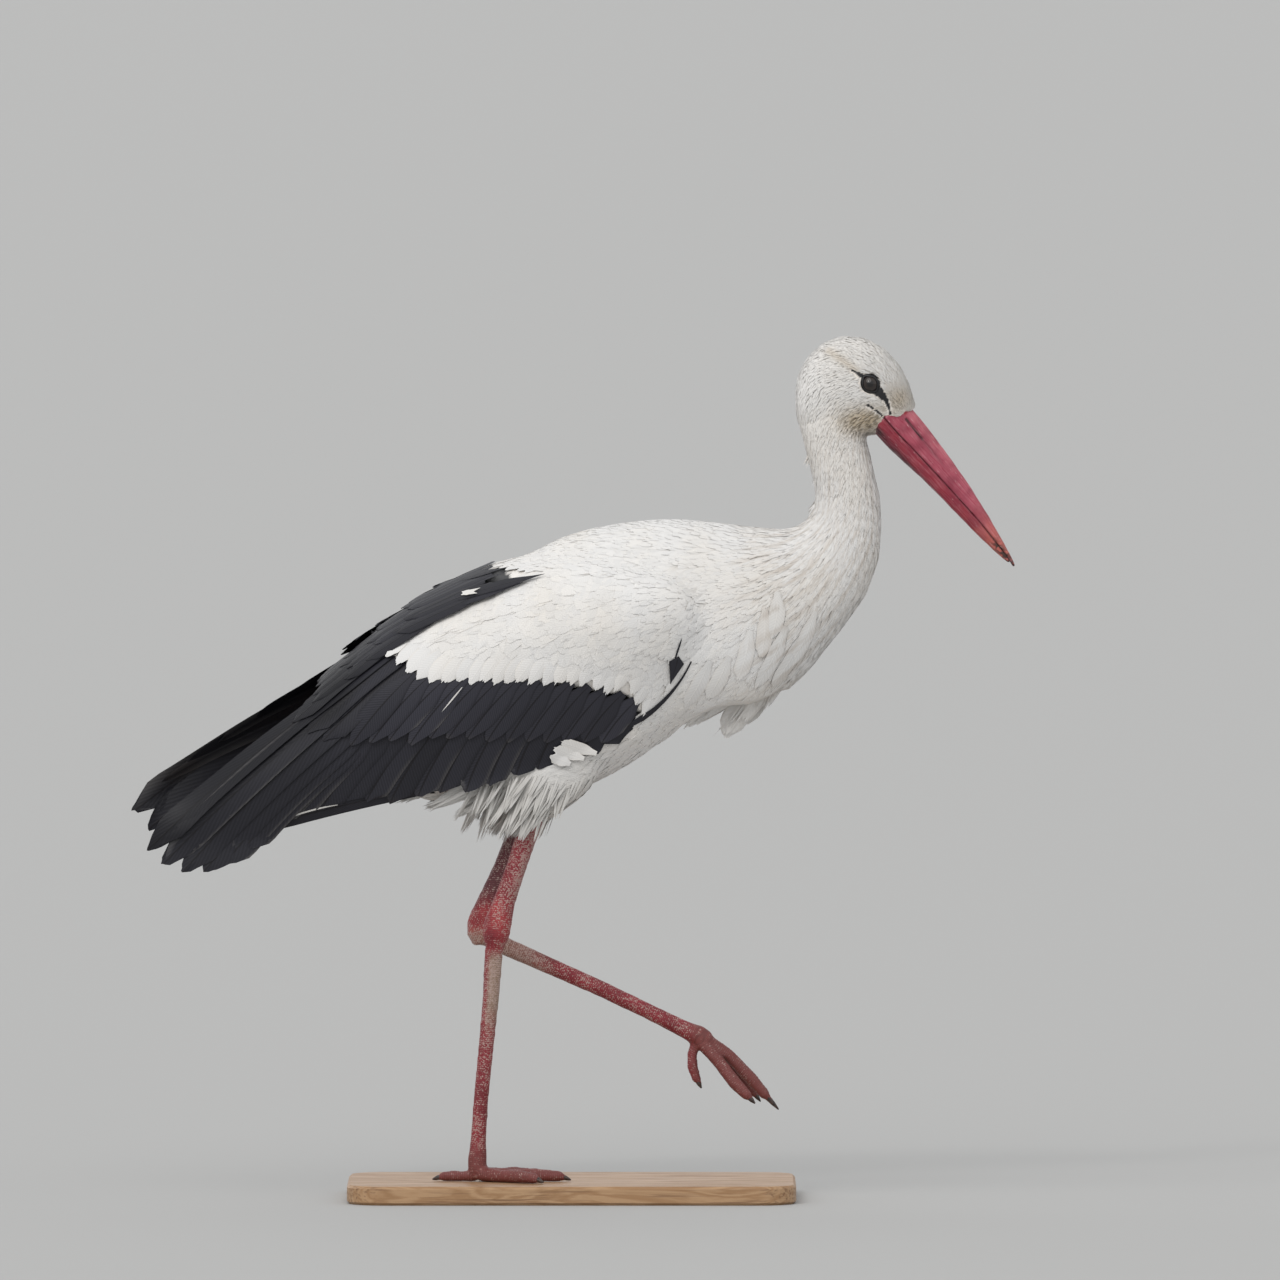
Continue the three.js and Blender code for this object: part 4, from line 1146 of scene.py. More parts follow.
def make_bill():
    """The two halves of the bill, with the slit of the nostril in the upper one."""
    for name, upper in (("bill_upper", True), ("bill_lower", False)):
        points, normals, quads = fused([name], BILL_VOXEL, BILL_ROUNDS, rooted)
        u, v = in_bill(side_view(points))
        colour = bill_tint(points, upper)
        if upper:
            slit_middle = 15.2 - 0.035 * u
            slit = np.exp(-((v - slit_middle) / 1.15) ** 2) * ramp(u, -1, 2) * (1 - ramp(u, 24, 29))
            groove = np.exp(-((v - slit_middle) / 1.6) ** 2)
            groove = groove * ramp(u, 20, 26) * (1 - ramp(u, 40, 70))
            cut = (1.5 * slit + 0.45 * groove) * (np.abs(points[:, 1]) > 2)
            points = points - normals * cut[:, None]
            dark = np.clip(slit * 1.3 + groove * 0.45, 0, 1)[:, None]
            colour = colour * (1 - dark) + np.array(NOSTRIL) * dark
        wear = 0.16 * waves(points, 9, 3) * ramp(u, 4, 20)
        points = points + normals * (wear + BILL_FULLER)[:, None]
        bill = new_object(name + "_horn", points, [quads])
        add_colours(bill, colour)
        dress(bill, "bill_horn", bill_material(), [name])


EYE_STEPS = (64, 40)
PUPIL_REACH, IRIS_REACH = 3.4, 6.3
POLE_REACH = [0, 9]  # the front pole is in the pupil, and the back one counts as past the iris


def make_eyes():
    """Eyeballs with a slightly raised cornea, dark brown iris and black pupil."""
    around, up = EYE_STEPS
    look = eye_material()
    for name, side in SIDES.items():
        tips = np.linspace(0, math.pi, up + 1)[1:-1]
        turns = np.linspace(0, 2 * math.pi, around, endpoint=False)
        tip, turn = np.meshgrid(tips, turns, indexing="ij")
        radius = EYE_RADIUS - 0.05 + 0.35 * np.exp(-(tip / 0.55) ** 2)
        ball = np.stack([radius * np.sin(tip) * np.cos(turn), side * radius * np.cos(tip),
                         radius * np.sin(tip) * np.sin(turn)], axis=-1).reshape(-1, 3)
        poles = np.array([[0, side * (EYE_RADIUS + 0.3), 0], [0, -side * EYE_RADIUS, 0]])
        points = np.concatenate([ball, poles]) + np.array([EYE[0], side * EYE_SIDE, EYE[1]])
        index = np.arange(len(ball)).reshape(up - 1, around)
        beside = np.roll(index, -1, axis=1)
        quads = ring_quads(index)
        front = np.stack([np.full(around, len(ball)), beside[0], index[0]], axis=-1)
        back = np.stack([np.full(around, len(ball) + 1), index[-1], beside[-1]], axis=-1)
        polygons = [quads, front, back]
        if side > 0:
            polygons = [own[:, ::-1] for own in polygons]
        reach = np.concatenate([(radius * np.sin(tip)).ravel(), POLE_REACH])
        colour = all_over(IRIS, points)
        colour[reach < PUPIL_REACH] = PUPIL
        colour[reach > IRIS_REACH] = EYE_RIM
        eye = new_object(f"eyeball_{name}", points, polygons)
        add_colours(eye, colour)
        dress(eye, "eye", look, [f"eye_{name}"])


def make_claws():
    """The horn of the claws of each foot, over the ends of the toes."""
    look = claw_material()
    for name in SIDES:
        nodes = [f"claw_{toe}_{name}" for toe in TOES]
        points, _, quads = fused(nodes, CLAW_VOXEL, CLAW_ROUNDS, drawn_back(CLAW_SHARE))
        dress(new_object(f"claws_{name}", points, [quads]), "claw_horn", look, nodes)


def make_base():
    """Gives the CAD base its oak."""
    base = NODES["stand_base"]
    base.data.materials.clear()
    base.data.materials.append(oak_material())


# ---------------------------------------------------------------- colours of the coat

WHITE = np.array([0.775, 0.768, 0.76])
CREAM = np.array([0.76, 0.715, 0.65])
UNDER_SHADE = np.array([0.55, 0.535, 0.51])
BUFF = np.array([0.57, 0.46, 0.32])
# SHADE is painted shade between the locks of the neck and breast
SHADE = np.array([0.56, 0.51, 0.46])
BLACK = np.array([0.026, 0.026, 0.034])
WORN = np.array([0.052, 0.046, 0.042])
PALE_EDGE = np.array([0.105, 0.10, 0.10])


STREAKS_ROUND, STREAKS_LONG, STREAK_SIZE = 260.0, 22.0, 2.8


def streaks(points):
    """Long soft lines of painted shade between the locks, down the neck and over the breast, from 0
    to 1.
    """
    far, turn = unwrap(points).T
    spread_out = np.stack([turn * STREAKS_ROUND, far * STREAKS_LONG, np.zeros(len(points))], axis=1)
    lines = ramp(waves(spread_out, STREAK_SIZE, 21), 0.05, 0.85)
    return lines * (0.75 + 0.25 * waves(points, 45, 22))


def white_tint(points, vane):
    """Warm white with faint cream, buff on the face, painted shade between the neck's locks and
    under the body.
    """
    x, z = points[:, 0], points[:, 2]
    side, own = np.abs(vane[:, 0]), vane[:, 2]
    warm = np.clip(0.30 + 0.30 * waves(points, 70, 1) + 0.4 * (own - 0.5), 0, 1)
    colour = blend_to(all_over(WHITE, points), CREAM, warm * 0.6)
    front = ramp(x, 120, 215) * (1 - ramp(z, 700, 760))
    below_head = ramp(x, 130, 200) * (1 - ramp(z, 715, 745))
    # Painted shade on the sides of the locks of the fore-neck and breast, and in long lines between
    # them.
    colour = blend_to(colour, SHADE, 0.45 * front * ramp(side, 0.35, 1) * (0.4 + 0.6 * own))
    colour = blend_to(colour, SHADE,
                      below_head * (0.30 * (own > 0.80) + 0.85 * streaks(points)) * 0.9)
    colour = blend_to(colour, CREAM, 0.40 * (1 - front) * ramp(side, 0.7, 1))
    # Painted shade under the body: the belly and thighs turn greyer towards the bottom.
    colour = blend_to(colour, UNDER_SHADE, 0.75 * (1 - ramp(z, 385, 440)) * (x < 60))
    cheek = np.exp(-(((x - 280) / 24) ** 2 + ((z - 747) / 13) ** 2)) * ramp(own, -0.8, 0.5)
    lore = np.exp(-(((x - 314) / 12) ** 2 + ((z - 768) / 12) ** 2))
    # The brow's line is partly a buff tint and partly painted shade along its crease.
    brow = np.exp(-(off_line(side_view(points), BROW) / 4.0) ** 2)
    head = (z > 728) & (x > 225)
    colour = blend_to(colour, BUFF,
                      np.clip(1.1 * cheek + 0.65 * lore + 0.42 * brow, 0, 0.95) * head)
    specks = (own > 0.66) * np.clip(1.2 * cheek + 0.8 * lore, 0, 1) * head
    colour = blend_to(colour, BUFF * 0.30, 0.8 * specks)
    # Painted shade at each vane's root, where the feathers over it cover it.
    root = 1 - 0.05 * (1 - ramp(vane[:, 1], 0.0, 0.5))
    return colour * (root * (0.95 + 0.08 * own))[:, None]


def black_tint(points, vane):
    """Black, with painted shade at the edges, in the hollow between the wings and behind, and a few
    worn and pale rims.
    """
    side, down, own = np.abs(vane[:, 0]), vane[:, 1], vane[:, 2]
    colour = all_over(BLACK, points) * (0.82 + 0.4 * own[:, None])
    # Painted shade along each vane's edges, where the next feather overlaps it.
    colour = blend_to(colour, BLACK * 0.35, 0.5 * ramp(side, 0.84, 0.98))
    worn = ramp(down, 0.95, 1.0) * ramp(waves(points, 14, 4), -0.6, 0.2)
    worn = worn * ramp(points[:, 0], -220, -180)
    colour = blend_to(colour, WORN, 0.4 * worn)
    # Painted shade in the hollow between the wings, just under the folded wing's top line.
    hollow = ramp(points[:, 0], -180, -230) * ramp(above_line(points, RIDGE), -18, -6)
    colour = blend_to(colour, BLACK * 0.25, 0.85 * hollow)
    # Painted shade towards the back of the wings.
    colour = blend_to(colour, BLACK * 0.6, 0.6 * ramp(-points[:, 0], 200, 260))
    return blend_to(colour, PALE_EDGE,
                    0.6 * (own > 0.82) * ramp(side, 0.9, 1.0) * ramp(down, 0.3, 0.6))


def sheen_and_rim_tint(points, vane):
    """Black feathers made lighter as a painted sheen, with a thin light worn rim round the tip."""
    side, down = np.abs(vane[:, 0]), vane[:, 1]
    rim = np.maximum(ramp(side, 0.86, 1.0) * ramp(down, 0.70, 0.85), ramp(down, 0.95, 1.0))
    # The lighter black is a painted sheen; the pale rim is wear.
    return blend_to(black_tint(points, vane) * 1.45, PALE_EDGE, 0.5 * rim)


# ---------------------------------------------------------------- coat of the head, neck and body

WRIST = (88, 528)


def wing_cover(points):
    """Which body points lie under a folded wing."""
    rows = WING_ROWS
    outline = [(r[0], r[1] - 6) for r in rows] + [(r[0], r[2] + 3) for r in rows[::-1]]
    beside = np.abs(points[:, 1]) > np.interp(points[:, 0], rows[:, 0], rows[:, 3]) + 4
    wrist = (points[:, 0] > WRIST[0]) & (points[:, 2] > WRIST[1])
    return inside(side_view(points), outline) & beside & ~wrist


DENSER = 0.64


def seeded_roots(ground, guides, candidates, keep):
    """Roots over a surface at the spacing that the guide table asks for."""
    places = ground.scatter(candidates)
    places = places[keep(places)]
    spacing = guided(places, guides)[1][:, SPACING] * DENSER
    chosen = rng.random(len(places)) < (spacing.min() / spacing) ** 2
    places, spacing = places[chosen], spacing[chosen]
    return places[thin_out(places, spacing)]


ROOT_SUNK = -0.3  # the height of a feather's root over the skin, as a share of the coat's depth


def coat_over(ground, roots, guides, rows):
    """Paths, normals and half widths of feathers laid over a surface, sized by the guide table."""
    sizes = guided(roots, guides)[1]
    vary = rng.uniform(0.85, 1.15, len(roots))
    high = sizes[:, DEPTH] * rng.uniform(0.98, 1.06, len(roots)) + 0.2
    low = ROOT_SUNK * sizes[:, DEPTH]
    paths, uppers = laid(ground, roots, guides, sizes[:, LENGTH] * vary, low, high, rows)
    return paths, uppers, sizes[:, WIDTH] * vary / 2


HEAD_CANDIDATES, BODY_CANDIDATES, WING_CANDIDATES, THIGH_CANDIDATES = 110000, 420000, 160000, 60000


def head_coat(ground):
    """Short narrow feathers over the head, clear of the bare skin and the horn."""
    def on_head(points):
        places = side_view(points)
        return (over_seam(points) > -9) & (bare_face(places, 0.5) > 0) & ~bare_bill(places)

    roots = seeded_roots(ground, BODY_LIE, HEAD_CANDIDATES, on_head)
    paths, uppers, half = coat_over(ground, roots, BODY_LIE, 3)
    flat = side_view(paths[:, 1:].reshape(-1, 3))
    over = ((bare_face(flat, 0.2) < 0) | bare_bill(flat)).reshape(len(paths), -1).any(axis=1)
    paths, uppers, half, roots = kept(~over, paths, uppers, half, roots)
    built = vanes(paths, uppers, half, 2, 3, slender, 0, 0.05, 0.18)
    white_piece("head_feathers", built, FINE_WHITE, roots)


def body_coat(ground):
    """The feathers of the neck and body, in pieces by their place."""
    def on_body(points):
        return (over_seam(points) < 5) & ~wing_cover(points)

    roots = seeded_roots(ground, BODY_LIE, BODY_CANDIDATES, on_body)
    narrow = guided(roots, BODY_LIE)[1][:, WIDTH] < 4.6
    x, z = roots[:, 0], roots[:, 2]
    black = on_black_back(roots)
    zones = {
        "neck_feathers": narrow & (z > 650),
        "throat_feathers": narrow & (z <= 650) & (x > 120),
        "back_feathers": ~narrow & (z > 560) & ~black,
        "breast_feathers": ~narrow & (z <= 560) & (x > 60),
        "belly_feathers": (x <= 60) & (z <= 560) & ~black,
        "black_back_feathers": black,
    }
    for name, chosen in zones.items():
        own = roots[chosen]
        paths, uppers, half = coat_over(ground, own, BODY_LIE, 4)
        under_wing = wing_cover(paths[:, 2:].reshape(-1, 3)).reshape(len(paths), -1).any(axis=1)
        paths, uppers, half, own = kept(~(under_wing & (own[:, 2] < 540)), paths, uppers, half, own)
        if name in ("neck_feathers", "throat_feathers"):
            built = vanes(paths, uppers, half, 2, 4, slender, 0, 0.08, 0.12)
            white_piece(name, built, FINE_WHITE, own)
            continue
        built = vanes(paths, uppers, half, 4, 4, rounded, 0.5, 0.16, 0.05)
        if name == "black_back_feathers":
            black_piece(name, built, own)
        else:
            white_piece(name, built, SOFT_WHITE, own)


def free_vanes(roots, tips, uppers, half, bow, columns, rows, form=slender, blunt=0.3, ragged=0.1,
               camber=0.15):
    """Vanes on free curves from roots to tips, each pulled outward at its middle."""
    t = np.linspace(0, 1, rows + 1)[None, :, None]
    middle = (roots + tips) / 2 + uppers * bow[:, None]
    paths = roots[:, None] * (1 - t) ** 2 + 2 * middle[:, None] * t * (1 - t)
    paths = paths + tips[:, None] * t ** 2
    tangents = unit(np.gradient(paths, axis=1))
    flat = np.repeat(uppers[:, None], rows + 1, axis=1)
    flat = unit(flat - tangents * (flat * tangents).sum(axis=2, keepdims=True))
    return vanes(paths, flat, half, columns, rows, form, blunt, ragged, camber)


# root, tip, half width of the bunch, spread of the tips, count, half width of each, form
PLUMES = [
    ((192, 514), (143, 442), 6, 2.0, 9, 10.5, rounded),
    ((204, 522), (160, 452), 10, 2.5, 12, 5.5, rounded),
    ((196, 516), (146, 444), 8, 5.5, 26, 1.6, plume),
    ((212, 530), (173, 463), 13, 2.5, 16, 4.0, plume),
    ((218, 536), (182, 466), 13, 2.0, 14, 3.0, plume),
    ((176, 508), (110, 450), 9, 1.8, 14, 7.0, plume),
    ((160, 500), (122, 460), 18, 3.0, 16, 4.5, plume),
    ((140, 490), (104, 452), 24, 3.0, 18, 3.2, plume),
    ((222, 538), (189, 473), 12, 1.5, 14, 2.0, plume),
    ((232, 548), (201, 484), 12, 1.5, 12, 1.8, plume),
    ((238, 554), (213, 494), 11, 1.2, 10, 1.8, plume),
    ((250, 568), (228, 512), 10, 1.2, 8, 1.7, plume),
    ((-62, 400), (-112, 366), 40, 2.5, 56, 1.8, plume),
    ((-84, 403), (-142, 373), 46, 3.0, 64, 2.0, plume),
    ((-112, 409), (-168, 381), 46, 3.0, 60, 2.2, plume),
    ((-40, 392), (-88, 362), 30, 2.5, 36, 1.8, plume),
]


PLUME_BOW, ROOT_LOOSE = 4, 3.5


def bunches():
    """Bunches of free feathers that hang from the middle of the body."""
    lots = []
    for root, tip, spread_out, loose, count, half, form in PLUMES:
        y = rng.uniform(-1, 1, count)
        shortest = 0.94 if form is rounded else 0.86
        short = rng.uniform(shortest, 1.0, count) - 0.05 * y * y
        start = np.stack([rng.normal(root[0], ROOT_LOOSE, count), y * spread_out,
                          rng.normal(root[1], ROOT_LOOSE, count)], axis=1)
        end = np.stack([rng.normal(tip[0], loose, count), y * spread_out * 0.75,
                        rng.normal(tip[1], loose * 0.5, count)], axis=1)
        end = start + (end - start) * short[:, None]
        turned = np.where(y < 0, -1.0, 1.0) * (0.7 + np.abs(y)) + rng.normal(0, 0.35, count)
        uppers = unit(np.stack([np.full(count, 0.3), turned, np.full(count, 0.1)], axis=1))
        sizes = half * rng.uniform(0.8, 1.25, count)
        bow = rng.uniform(0, PLUME_BOW, count)
        blunt = 0.12 if form is rounded else 0.35
        lots.append((start, free_vanes(start, end, uppers, sizes, bow, 12, 8, form, blunt, 0.10)))
    return lots


THIGH_ROOTS = (-90, -30, 370, 426)
THIGH_OUTSIDE = 63.0
THIGH_SPACING = 2.5
CLUMP, CLUMP_PULL = 13.0, 0.64


def thigh_plumes(ground):
    """Loose feathers that hang from each thigh round the top of the shank, drawn into clumps."""
    back, front, low, high = THIGH_ROOTS
    lots = []
    for side in SIDES.values():
        places = ground.scatter(THIGH_CANDIDATES)
        x, y, z = places.T
        in_front = x < front + 0.95 * (z - low)
        places = places[(z > low) & (z < high) & (x > back) & in_front & (y * side > 10)]
        places = places[~wing_cover(places) & (np.abs(places[:, 1]) < THIGH_OUTSIDE)]
        places = places[thin_out(places, np.full(len(places), THIGH_SPACING))]
        spots, normals = ground.nearest(places)
        count = len(spots)
        each = np.ones(count)
        lean = unit(np.stack([rng.normal(-0.50, 0.12, count), 0.1 * normals[:, 1], -each], axis=1))
        length = np.minimum(rng.uniform(30, 52, count), (spots[:, 2] - 350) * 1.3)
        tips = spots + lean * length[:, None] + normals * 0.8
        heads = tips[thin_out(tips, each * CLUMP)]
        near = np.linalg.norm(tips[:, None] - heads[None], axis=2).argmin(axis=1)
        tips = tips * (1 - CLUMP_PULL) + heads[near] * CLUMP_PULL
        sizes = rng.uniform(0.6, 1.4, count)
        built = free_vanes(spots - normals * 2.0, tips, normals, sizes, each * 1.6, 4, 6, slender,
                           0.25, 0.10, 0.06)
        lots.append((spots, built))
    return lots


BREAST_LOBES = [
    [(184, 568), (184, 545), (180, 521)], [(204, 552), (192, 522), (174, 492)],
    [(170, 548), (166, 524), (158, 500)], [(222, 548), (208, 520), (188, 492)],
    [(150, 524), (142, 504), (128, 482)], [(232, 566), (222, 540), (206, 512)],
    [(196, 584), (196, 562), (190, 540)], [(132, 520), (122, 498), (106, 474)],
]


def white_lots(name, lots, material):
    """One piece of white feathers from several lots of (roots, vanes)."""
    built = joined([vanes_made for _, vanes_made in lots])
    white_piece(name, built, material, np.concatenate([start for start, _ in lots]))


STRAYS = [
    ((234, 724), (223, 704)), ((240, 706), (231, 687)), ((238, 672), (227, 657)),
    ((243, 664), (232, 648)),
]
STRAYS_EACH = 9


def nape_locks():
    """A few locks that stand off the nape."""
    roots, tips = [], []
    for root, tip in STRAYS:
        for _ in range(STRAYS_EACH):
            y = rng.normal(0, 4.0)
            roots.append((root[0] + rng.normal(0, 1), y, root[1] + rng.normal(0, 2)))
            x = tip[0] + rng.normal(0, 1) + abs(y) * 0.3
            tips.append((x, y * 1.3, tip[1] + rng.normal(0, 2.5)))
    roots, tips = np.array(roots, float), np.array(tips, float)
    each = np.ones(len(roots))
    uppers = unit(np.stack([each * -0.5, np.sign(roots[:, 1]), each * 0.4], axis=1))
    return [(roots, free_vanes(roots, tips, uppers, each * 0.9, each, 2, 5))]


# ---------------------------------------------------------------- wings

WING_X = np.arange(-440, 140, WING_STEP)


def blurred(values):
    """A column of the wing's table, smoothed along the wing."""
    padded = np.pad(values, WING_BLUR // 2, mode="edge")
    return np.convolve(padded, np.ones(WING_BLUR) / WING_BLUR, mode="valid")


WING_TABLE = [blurred(np.interp(WING_X, WING_ROWS[:, 0], WING_ROWS[:, k])) for k in range(1, 6)]


def wing_row(x):
    """The wing at x: top, foot, the side of each, and its half width."""
    return [np.interp(x, WING_X, column) for column in WING_TABLE]


def wing_side(x, share):
    """How far to the side the folded wing's surface is, at a share of the way down it."""
    _, _, top_side, foot_side, half = wing_row(x)
    share = np.clip(share, 0, 1)
    bow = (half - (top_side + foot_side) / 2) / math.sin(math.pi * 0.5 ** WING_BOW)
    return top_side + (foot_side - top_side) * share + bow * np.sin(math.pi * share ** WING_BOW)


def wing_spot(x, z):
    """The right wing's outer surface and its normal at (x, z) in side view."""
    def depth(x, z):
        top, foot = wing_row(x)[:2]
        return wing_side(x, (top - z) / (top - foot))

    y = depth(x, z)
    slope_x = (depth(x + 3, z) - depth(x - 3, z)) / 6
    slope_z = (depth(x, z + 2) - depth(x, z - 2)) / 4
    normal = unit(np.stack([-slope_x, -np.ones_like(y), -slope_z], axis=-1))
    return np.stack([x, -y, z], axis=-1), normal


ARC_STEPS = 240


def wing_arc(x):
    """Heights down the wing at x, with how far each is round from the wing's top."""
    shares = np.linspace(0, 1, ARC_STEPS) ** 1.6
    x = np.full(ARC_STEPS, float(x))
    top, foot = wing_row(x)[:2]
    levels = top + (foot - top) * shares
    steps = np.hypot(np.diff(wing_side(x, shares)), np.diff(levels))
    return levels, np.concatenate([[0], np.cumsum(steps)])


def lane(x, share, border, margin):
    """A place (x, z) at a share of the way from the wing's top to a margin short of a border."""
    levels, gone = wing_arc(x)
    edge = np.interp(x, *np.array(border, float).T)
    reach = np.interp(-edge, -levels, gone)
    return x, np.interp(max(reach - margin, 0.4 * reach) * share, gone, levels)


def to_left(points):
    """The left wing: the right one mirrored, and carried higher behind."""
    share = np.maximum(0, (LEFT_FROM - points[:, 0]) / LEFT_LENGTH)
    x, y, z = points.T
    return np.stack([x - LEFT_REACH * share, -y, z + LEFT_RISE * share], axis=1)


def wing_piece(name, side, parts, slot, material, tint, replaces=()):
    """One piece from several lots of vanes made for the right wing."""
    points, polygons, vane, number = joined(parts)
    colours = tint(points, vane)
    if side == "left":
        points = to_left(points)
        polygons = [p[:, ::-1] for p in polygons]
    feather_piece(name, (points, polygons, vane, number), colours, slot, material, None, replaces)


def wing_vanes(lines, half, lift, bend=0.0, columns=8, rows=12, form=quill, blunt=0.06, ragged=0.03,
               camber=0.035, tilt=-0.06, tip_lift=0.0):
    """Long feathers on the wing, from lines of (root, tip) in side view. bend bows them upward."""
    lines = np.array(lines, float)
    each = np.ones(len(lines))
    t = np.linspace(0, 1, rows + 1)[None, :, None]
    root, tip = lines[:, :1], lines[:, 1:]
    run = tip - root
    square = np.stack([run[..., 1], -run[..., 0]], axis=-1)
    square = unit(square) * np.sign(square[..., 1:])
    bow = square * (bend * each)[:, None, None]
    flat = root * (1 - t) + tip * t + bow * 4 * t * (1 - t)
    spots, uppers = wing_spot(flat[..., 0], flat[..., 1])
    paths = spots + uppers * ((lift * each)[:, None, None] + tip_lift * t)
    return vanes(paths, uppers, half * each, columns, rows, form, blunt, ragged, camber, tilt)


def rails(root_rail, tip_rail, count, jitter):
    """Lines from even steps along one rail to even steps along another."""
    roots, tips = along(root_rail, count), along(tip_rail, count)
    tips = tips + rng.normal(0, jitter, tips.shape)
    return np.stack([roots, tips], axis=1)


SECONDARIES, GREATER_COVERTS, EDGE_COVERTS = 15, 14, 23
FAN_ROOTS = [(-186, 455), (-178, 475), (-170, 495), (-164, 513), (-158, 529), (-150, 545)]
FAN_TIPS = [(-314, 338), (-334, 322), (-354, 314), (-374, 314), (-394, 320), (-408, 335)]
STRIP = [((-40, 420), (-214, 384)), ((-60, 414), (-258, 370)), ((-90, 405), (-312, 353))]
SHAFT = [((-224, 379), (-282, 362))]
SECONDARY_ROOTS = [(-205, 445), (-150, 470), (-60, 480), (20, 478), (62, 470)]
SECONDARY_TIPS = [
    (-288, 362), (-231, 378), (-154, 384), (-96, 393), (-52, 409), (7, 427), (30, 440),
]
TERTIALS = [((-132, 566), (-268, 458)), ((-136, 548), (-254, 449)), ((-140, 530), (-238, 442))]
INNER = [
    ((-190, 510), (-300, 436)), ((-200, 494), (-335, 406)), ((-210, 478), (-362, 384)),
    ((-215, 464), (-385, 360)),
]
INNER_RISE = {"right": 0.0, "left": 11.0}
INNER_HALF = {"right": 4.5, "left": 7.5}
COVERT_ROOTS = [(-150, 508), (-110, 505), (-10, 502), (66, 484)]
COVERT_TIPS = [(-212, 439), (-165, 440), (-107, 444), (-54, 440), (-21, 441), (30, 438)]
WHITE_TIPS = [
    (-177, 521), (-169, 515), (-155, 506), (-136, 498), (-69, 496), (-11, 496), (27, 490),
    (52, 489), (66, 466),
]
WHITE_ROOTS = [
    (-156, 545), (-140, 538), (-125, 530), (-108, 526), (-50, 527), (5, 527), (45, 520), (68, 518),
    (84, 497),
]
WHITE_ZONE = [
    (-184, 530), (-165, 542), (-117, 572), (-78, 579), (-26, 600), (-66, 599), (-58, 606),
    (-66, 640), (40, 680), (140, 600), (140, 540), (104, 503), (85, 482), (66, 470), (52, 492),
    (27, 493), (-69, 499), (-136, 501), (-155, 508),
]
WING_LIE = [
    (122, 560, 245, 16, 10, 3.8, 2), (108, 525, 250, 18, 10, 4, 2),
    (90, 500, 255, 22, 12, 4.6, 2.2), (72, 485, 262, 26, 14, 5.4, 2.4),
    (100, 590, 222, 19, 11, 4.4, 2.2), (60, 605, 212, 26, 14, 5.6, 2.5),
    (80, 545, 240, 24, 13, 5.2, 2.4), (40, 560, 228, 31, 17, 6.6, 2.8),
    (0, 605, 206, 31, 16, 6.2, 2.8), (0, 560, 226, 34, 18, 7, 3), (0, 520, 256, 32, 19, 7, 3),
    (-60, 560, 222, 34, 18, 7, 3), (-60, 520, 260, 32, 19, 7, 3), (-110, 550, 224, 32, 18, 6.8, 3),
    (-120, 518, 254, 31, 18, 6.8, 3), (-150, 528, 232, 30, 16, 6.2, 2.6),
    (-172, 528, 224, 26, 14, 5.6, 2.4),
]
LEADING_LINE = [[(113, 520), (107, 506), (96, 492), (81, 476), (62, 462), (48, 454)]]
ALULA = [[(93, 499), (101, 526)]]
ALULA_SLIT = [[(97.5, 522), (104.5, 544)]]
SPOT = [((-86, 586), (-107, 578)), ((-89, 581), (-105, 582))]
BARB = [((-104, 495), (-124, 471))]
FLANK = [((24, 430), (-14, 443)), ((12, 425), (-19, 437)), ((-1, 420), (-21, 429))]
# the front of the black back
BLACK_EDGE = [
    (-240, 470), (-225, 486), (-205, 504), (-180, 527), (-158, 545), (-130, 564), (-112, 571),
    (-82, 578), (-58, 585), (-27, 600),
]
FINGERS = [
    ((-25, 601), (-128, 572)), ((-61, 606), (-134, 585)), ((-46, 593), (-142, 561)),
    ((-66, 601), (-150, 574)),
]
SCAPULAR_ROWS = [(-76, -156), (-100, -184), (-126, -212), (-152, -240)]
SCAPULAR_END = {"right": -240, "left": -206}
LANES = 8
LANE_HALF = 9.0
MARK_ROUNDS, MARK_ROWS = 2, 10
VALLEY_ROWS = ((-236, -300), (-200, -272), (-165, -240), (-128, -206))
VALLEY_PLACES = (-23, -13, -3)


def marks(ground, side, lines, half, lift, form, columns=6):
    """Vanes for a small marking, laid on whatever is outermost along lines given in side view."""
    paths, uppers = [], []
    for line in lines:
        spots, normals = ground.beside(along(line, MARK_ROWS + 1), SIDES[side])
        path = spots + normals * lift
        for _ in range(MARK_ROUNDS):
            path[1:-1] = (path[:-2] + 2 * path[1:-1] + path[2:]) / 4
        paths.append(path)
        uppers.append(normals)
    paths, uppers, halves = np.array(paths), np.array(uppers), np.full(len(lines), half)
    return vanes(paths, uppers, halves, columns, MARK_ROWS, form, 0.2, 0.1, 0.05)


def scapulars(last):
    """Side view lines for rows of black feathers down the back to a last x, the last row first."""
    lines, lifts = [], []
    for row, (front, back) in enumerate(SCAPULAR_ROWS[::-1]):
        for number, share in enumerate(np.linspace(0, 1, LANES)):
            start = front - 7 * (number % 2)
            end = max(back, last) - 7 * (number % 2) + rng.normal(0, 3)
            lines.append([lane(x, share, BLACK_EDGE, LANE_HALF) for x in (start, end)])
            lifts.append(-1.2 + 0.7 * row)
    return lines, lifts


def valley():
    """Black feathers across the hollow between the two wings, behind the scapulars."""
    roots, tips = [], []
    ridge = RIDGE.T
    for start, end in VALLEY_ROWS:
        for y in VALLEY_PLACES:
            far = end + rng.normal(0, 5)
            roots.append((start, y * 1.15, np.interp(start, *ridge) - 15 + 0.3 * y))
            tips.append((far, y * 0.9, np.interp(far, *ridge) - 11 + 0.3 * y))
    roots, tips = np.array(roots, float), np.array(tips, float)
    uppers = np.tile(unit(np.array([0.45, -0.1, 1.0])), (len(roots), 1))
    each = np.ones(len(roots))
    return free_vanes(roots, tips, uppers, each * 9.0, each * 3.0, 8, 10, quill, 0.12, 0.03, 0.06)


